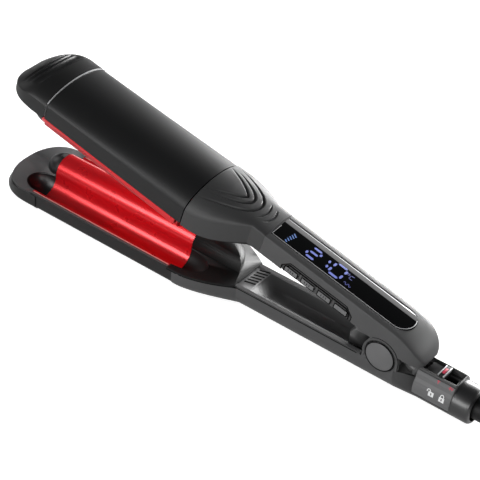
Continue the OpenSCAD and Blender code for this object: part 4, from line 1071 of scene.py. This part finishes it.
def ring_outline(cx, cy, r, t, n):
    """Short bars that close into a ring."""
    out = []
    for i in range(n):
        a, b = 2 * math.pi * i / n, 2 * math.pi * (i + 1) / n
        corners = ((a, r + t / 2), (b, r + t / 2), (b, r - t / 2), (a, r - t / 2))
        out.append([(cx + q * math.cos(p), cy + q * math.sin(p)) for p, q in corners])
    return out


LENS_CROWN_R, LENS_CENTRE = 60, 59.7  # radius of the lens's crown, and how far its centre lies below the top


def lens_top(y):
    """Height of the lens: a slight crown that rolls off towards the far side."""
    crown = HANDLE_TOP_H - LENS_CENTRE + math.sqrt(LENS_CROWN_R ** 2 - y * y)
    return crown - 0.5 * (max(0.0, y - 3) / 6.6) ** 2


def on_lens(x, y):
    """Point and outward direction on the lens."""
    return (x, y, lens_top(y)), (0, (lens_top(y - 0.05) - lens_top(y + 0.05)) / 0.1, 1)


LOCK_PANEL_R, LOCK_PANEL_BEND = 11.75, math.radians(38)
LOCK_PANEL_CORNERS = [(9.26, 18.83), (8.65, 21.275), (7.35, 22.905)]  # Y and Z where its arc goes flat


def on_lock_panel(x, v):
    """Point and outward direction on the near flank of the tail, v millimetres of arc above its middle."""
    r, (a, b, c) = LOCK_PANEL_R, LOCK_PANEL_CORNERS
    bend = LOCK_PANEL_BEND * r
    if v <= bend:
        y, z = math.cos(v / r), math.sin(v / r)
        return (x, -r * y, COLLAR_R + r * z), (0, -y, z)
    for (y0, z0), (y1, z1), at in ((a, b, bend), (b, c, bend + 2.52)):
        long = math.hypot(y1 - y0, z1 - z0)
        t = (v - at) / long
        if t <= 1 or y1 < 8:
            return (x, -(y0 + (y1 - y0) * t), z0 + (z1 - z0) * t), (0, -(z1 - z0) / long, -(y1 - y0) / long)


MARK_RISE, MARK_DEPTH = 0.03, 0.35


def tiles(name, outlines, surface, body, slot, look=None):
    """Thin closed tiles that lie on a surface of a body."""
    place = lower_place if body == "lower_arm" else upper_place
    points, faces = [], []
    for outline in outlines:
        area = sum(a[0] * b[1] - b[0] * a[1] for a, b in zip(outline, outline[1:] + outline[:1]))
        loop = outline if area > 0 else outline[::-1]
        n, k = len(loop), len(points)
        spots = [surface(u, v) for u, v in loop]
        for lift in (MARK_RISE, -MARK_DEPTH):
            points += [tuple(c + lift * d for c, d in zip(spot, out)) for spot, out in spots]
        faces += [[k + i for i in range(n)], [k + n + i for i in range(n)][::-1]]
        faces += [[k + i, k + n + i, k + n + (i + 1) % n, k + (i + 1) % n] for i in range(n)]
    mesh = bpy.data.meshes.new(name)
    mesh.from_pydata(place(points).tolist(), [], faces)
    mesh.validate()
    polish(mesh, 20)
    return keep(new_piece(name, mesh), body, slot, look=look)


def padlock(u, v, open_by):
    """Outlines of a small padlock: a body in strips round its keyhole, and its shackle."""
    out = []
    w, h, k, hole = 1.75, 3.0, 8, 0.38
    for i in range(k):
        a, b = v + h * i / k, v + h * (i + 1) / k
        spans = [(u - w, u - hole), (u + hole, u + w)] if 2 <= i <= 5 else [(u - w, u + w)]
        out += [[(p, a), (q, a), (q, b), (p, b)] for p, q in spans]
    r, t, leg, top = 1.0, 0.52, 0.8, v + h + 0.75
    arc = [(r * math.cos(x), r * math.sin(x)) for x in map(math.radians, range(0, 181, 20))]
    legs = [[(r, 0), (r, -leg)], [(-r, 0), (-r, -leg if not open_by else -0.2)]]
    lean = math.radians(28 if open_by else 0)

    def at(p):
        x, y = p[0] - r, p[1] + leg
        x, y = x * math.cos(lean) - y * math.sin(lean), x * math.sin(lean) + y * math.cos(lean)
        return (u + x + r - open_by, top - leg + y)

    return out + [stroke(*at(a), *at(b), t) for a, b in [*zip(arc, arc[1:]), *legs]]


# figures of the display: which, left, foot, width, height, lean
FIGURES = [(2, -69.8, -6.6, 7.4, 8.2, -0.4), (1, -62, -6.2, 7.4, 8.0, 1.6), (0, -52.6, -6.8, 8.2, 10.0, -0.4)]


class WAVER_OT_display(PieceOperator, bpy.types.Operator):
    """Glossy display lens, its silver line and its lit figures"""

    bl_idname = "waver.display"
    bl_label = "Display"

    def build(self, sizes):
        r = LENS_W / 2
        middle = LENS_END_X - r
        foot = HANDLE_TOP_H - LENS_T
        round_end = [middle + r * math.sin(math.radians(a)) for a in (8, 18, 28, 38, 48, 58, 67, 75, 81, 86)]
        rings = []
        for x in stations((LENS_X0, middle, 24)) + round_end:
            w = r if x <= middle else math.sqrt(r * r - (x - middle) ** 2)
            across = [w * math.sin(math.radians(a)) for a in range(90, -91, -6)]
            rings.append(ring(x, np.array([[-w, foot], [w, foot]] + [[y, lens_top(y)] for y in across])))
        keep(loft("lens_form", rings, upper_place, 24), "upper_arm", "gloss_black", "display_lens")

        small = ring_outline(-42.4, 1.0, 0.7, 0.5, 12)
        small += [stroke(-40.6, 1.2, -38.4, 1.6, 0.6), stroke(-40.6, -1.4, -38.4, -1.4, 0.6),
                  stroke(-40.7, -1.0, -40.7, 0.8, 0.6)]
        small += bars([(-41 + 5 * i / 20, -6.0 + 0.8 * math.sin(2 * math.pi * i / 10)) for i in range(21)], 0.5)
        level = [stroke(-84.19 + i * 0.24, -6.97 + i * 1.91, -82.43 + i * 0.47, -7.92 + i * 1.72, 0.8)
                 for i in range(5)]
        figures = sum((digit(*figure) for figure in FIGURES), [])
        for name, outlines, look in (("display_figures", figures, "lit_figures"),
                                     ("display_units", small, "dim_figures"),
                                     ("display_bars", level, "bar_figures")):
            tiles(name, outlines, on_lens, "upper_arm", "gloss_black", look)

        out = r - 0.55
        turns = [math.radians(a) for a in range(-80, 31, 10)]
        edge = bars([(LENS_X0 + 1, -out), (middle, -out)] +
                    [(middle + out * math.cos(a), out * math.sin(a)) for a in turns], 0.4)
        edge += bars([(LENS_X0 + 0.5, -out + 2 * out * i / 12) for i in range(7)], 0.35)
        tiles("display_edge_line", edge, on_lens, "upper_arm", "silver_trim", "bright_line")


class WAVER_OT_buttons(PieceOperator, bpy.types.Operator):
    """Four keys and the frame round them"""

    bl_idname = "waver.buttons"
    bl_label = "Buttons"

    def build(self, sizes):
        for i in range(1, 5):
            refined(f"button_{i}", f"key_{i}", "button_grey", bevel=0.3)

        def key_face(x, z):
            return (x, -HALF_GRIP - 0.1, z), (0, -1, 0)

        for i in range(4):
            body, x, z = f"key_{i + 1}", BUTTON_X0 + BUTTON_PITCH * i, BUTTON_Z0
            if i < 3:
                at = [x + 3 + KEY_MARK_PITCH * j for j in range(3)]
                tiles("key_marks", [stroke(u, z + 1.4, u, z + 3.0, KEY_LINE_W) for u in at], key_face, body,
                      "black_satin")
            left, low = x + KEY_RIM_IN, z + KEY_RIM_IN
            right, high = x + BUTTON_L - KEY_RIM_IN, z + BUTTON_H - KEY_RIM_IN
            rim = [(left, low), (left, high), (right, high), (right, low), (left, low)]
            tiles("key_rim", bars(rim, KEY_LINE_W), key_face, body, "black_satin", "gap_black")
        outline = []
        for g in (0.0, 1.9):
            p = frame_outline(g)
            p[0], p[1] = (p[0][0], p[0][1] + 1.2), (p[1][0], p[1][1] + 1.2)
            runs = bars(p[1:] + p[:1], KEY_LINE_W)
            outline += runs[1:-1] + [runs[0], runs[-1]]
        tiles("key_frame_gap", outline, key_face, "upper_arm", "black_satin", "gap_black")
        refined("button_frame", "upper_arm", "black_satin", bevel=0.2, look="soft_grey_casing")


class WAVER_OT_inside(PieceOperator, bpy.types.Operator):
    """Materials of the pieces that keep their CAD shape"""

    bl_idname = "waver.inside"
    bl_label = "Inner pieces"

    def build(self, sizes):
        for slot, names in SLOTS_OF_PLAIN_NODES.items():
            for name in names:
                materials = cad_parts[name].data.materials
                for i in range(len(materials)):
                    materials[i] = finish(slot)
                if not len(materials):
                    materials.append(finish(slot))


# ---------- properties, panel and run ----------

class WaverSizes(bpy.types.PropertyGroup):
    """Sizes of the pieces that are made here."""

    relief_root: FloatProperty(
        name="Relief root", description="Radius of the strain relief at the collar, mm", default=7.4, min=4, max=9)
    relief_tip: FloatProperty(
        name="Relief tip", description="Radius of the strain relief at its free end, mm", default=4.6, min=3.5, max=7)
    relief_ribs: IntProperty(
        name="Relief ribs", description="How many rings the strain relief has", default=7, min=3, max=12)


class WaverLooks(bpy.types.PropertyGroup):
    """Colours of the pieces."""

    casing: FloatVectorProperty(
        name="Casing", description="Soft-touch casing", subtype="COLOR", size=3, default=(0.08, 0.08, 0.081),
        min=0, max=1)
    panel: FloatVectorProperty(
        name="Head panel", description="Dark panels of the head", subtype="COLOR", size=3,
        default=(0.01, 0.01, 0.0104), min=0, max=1)
    plate: FloatVectorProperty(
        name="Plate", description="Waved plates", subtype="COLOR", size=3, default=(0.78, 0.01, 0.018), min=0, max=1)


OPERATORS = [WAVER_OT_stage, WAVER_OT_cord, WAVER_OT_upper_casing, WAVER_OT_lower_casing, WAVER_OT_plates,
             WAVER_OT_hinge, WAVER_OT_tail, WAVER_OT_strain_relief, WAVER_OT_display, WAVER_OT_buttons,
             WAVER_OT_inside]


class WAVER_PT_panel(bpy.types.Panel):
    """The operators, in the order in which they run"""

    bl_label = "Hair Waver"
    bl_idname = "WAVER_PT_panel"
    bl_space_type = "VIEW_3D"
    bl_region_type = "UI"
    bl_category = "Hair Waver"

    def draw(self, context):
        for name in ("relief_root", "relief_tip", "relief_ribs"):
            self.layout.prop(context.scene.waver_sizes, name)
        for name in ("casing", "panel", "plate"):
            self.layout.prop(context.scene.waver_looks, name)
        for operator in OPERATORS:
            self.layout.operator(operator.bl_idname)


CLASSES = [WaverSizes, WaverLooks, *OPERATORS, WAVER_PT_panel]


def register():
    for c in CLASSES:
        bpy.utils.register_class(c)
    bpy.types.Scene.waver_sizes = PointerProperty(type=WaverSizes)
    bpy.types.Scene.waver_looks = PointerProperty(type=WaverLooks)


def unregister():
    del bpy.types.Scene.waver_looks
    del bpy.types.Scene.waver_sizes
    for c in reversed(CLASSES):
        bpy.utils.unregister_class(c)


def main():
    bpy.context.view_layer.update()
    register()
    for operator in OPERATORS:
        group, name = operator.bl_idname.split(".")
        getattr(getattr(bpy.ops, group), name)()


if __name__ == "__main__":
    main()
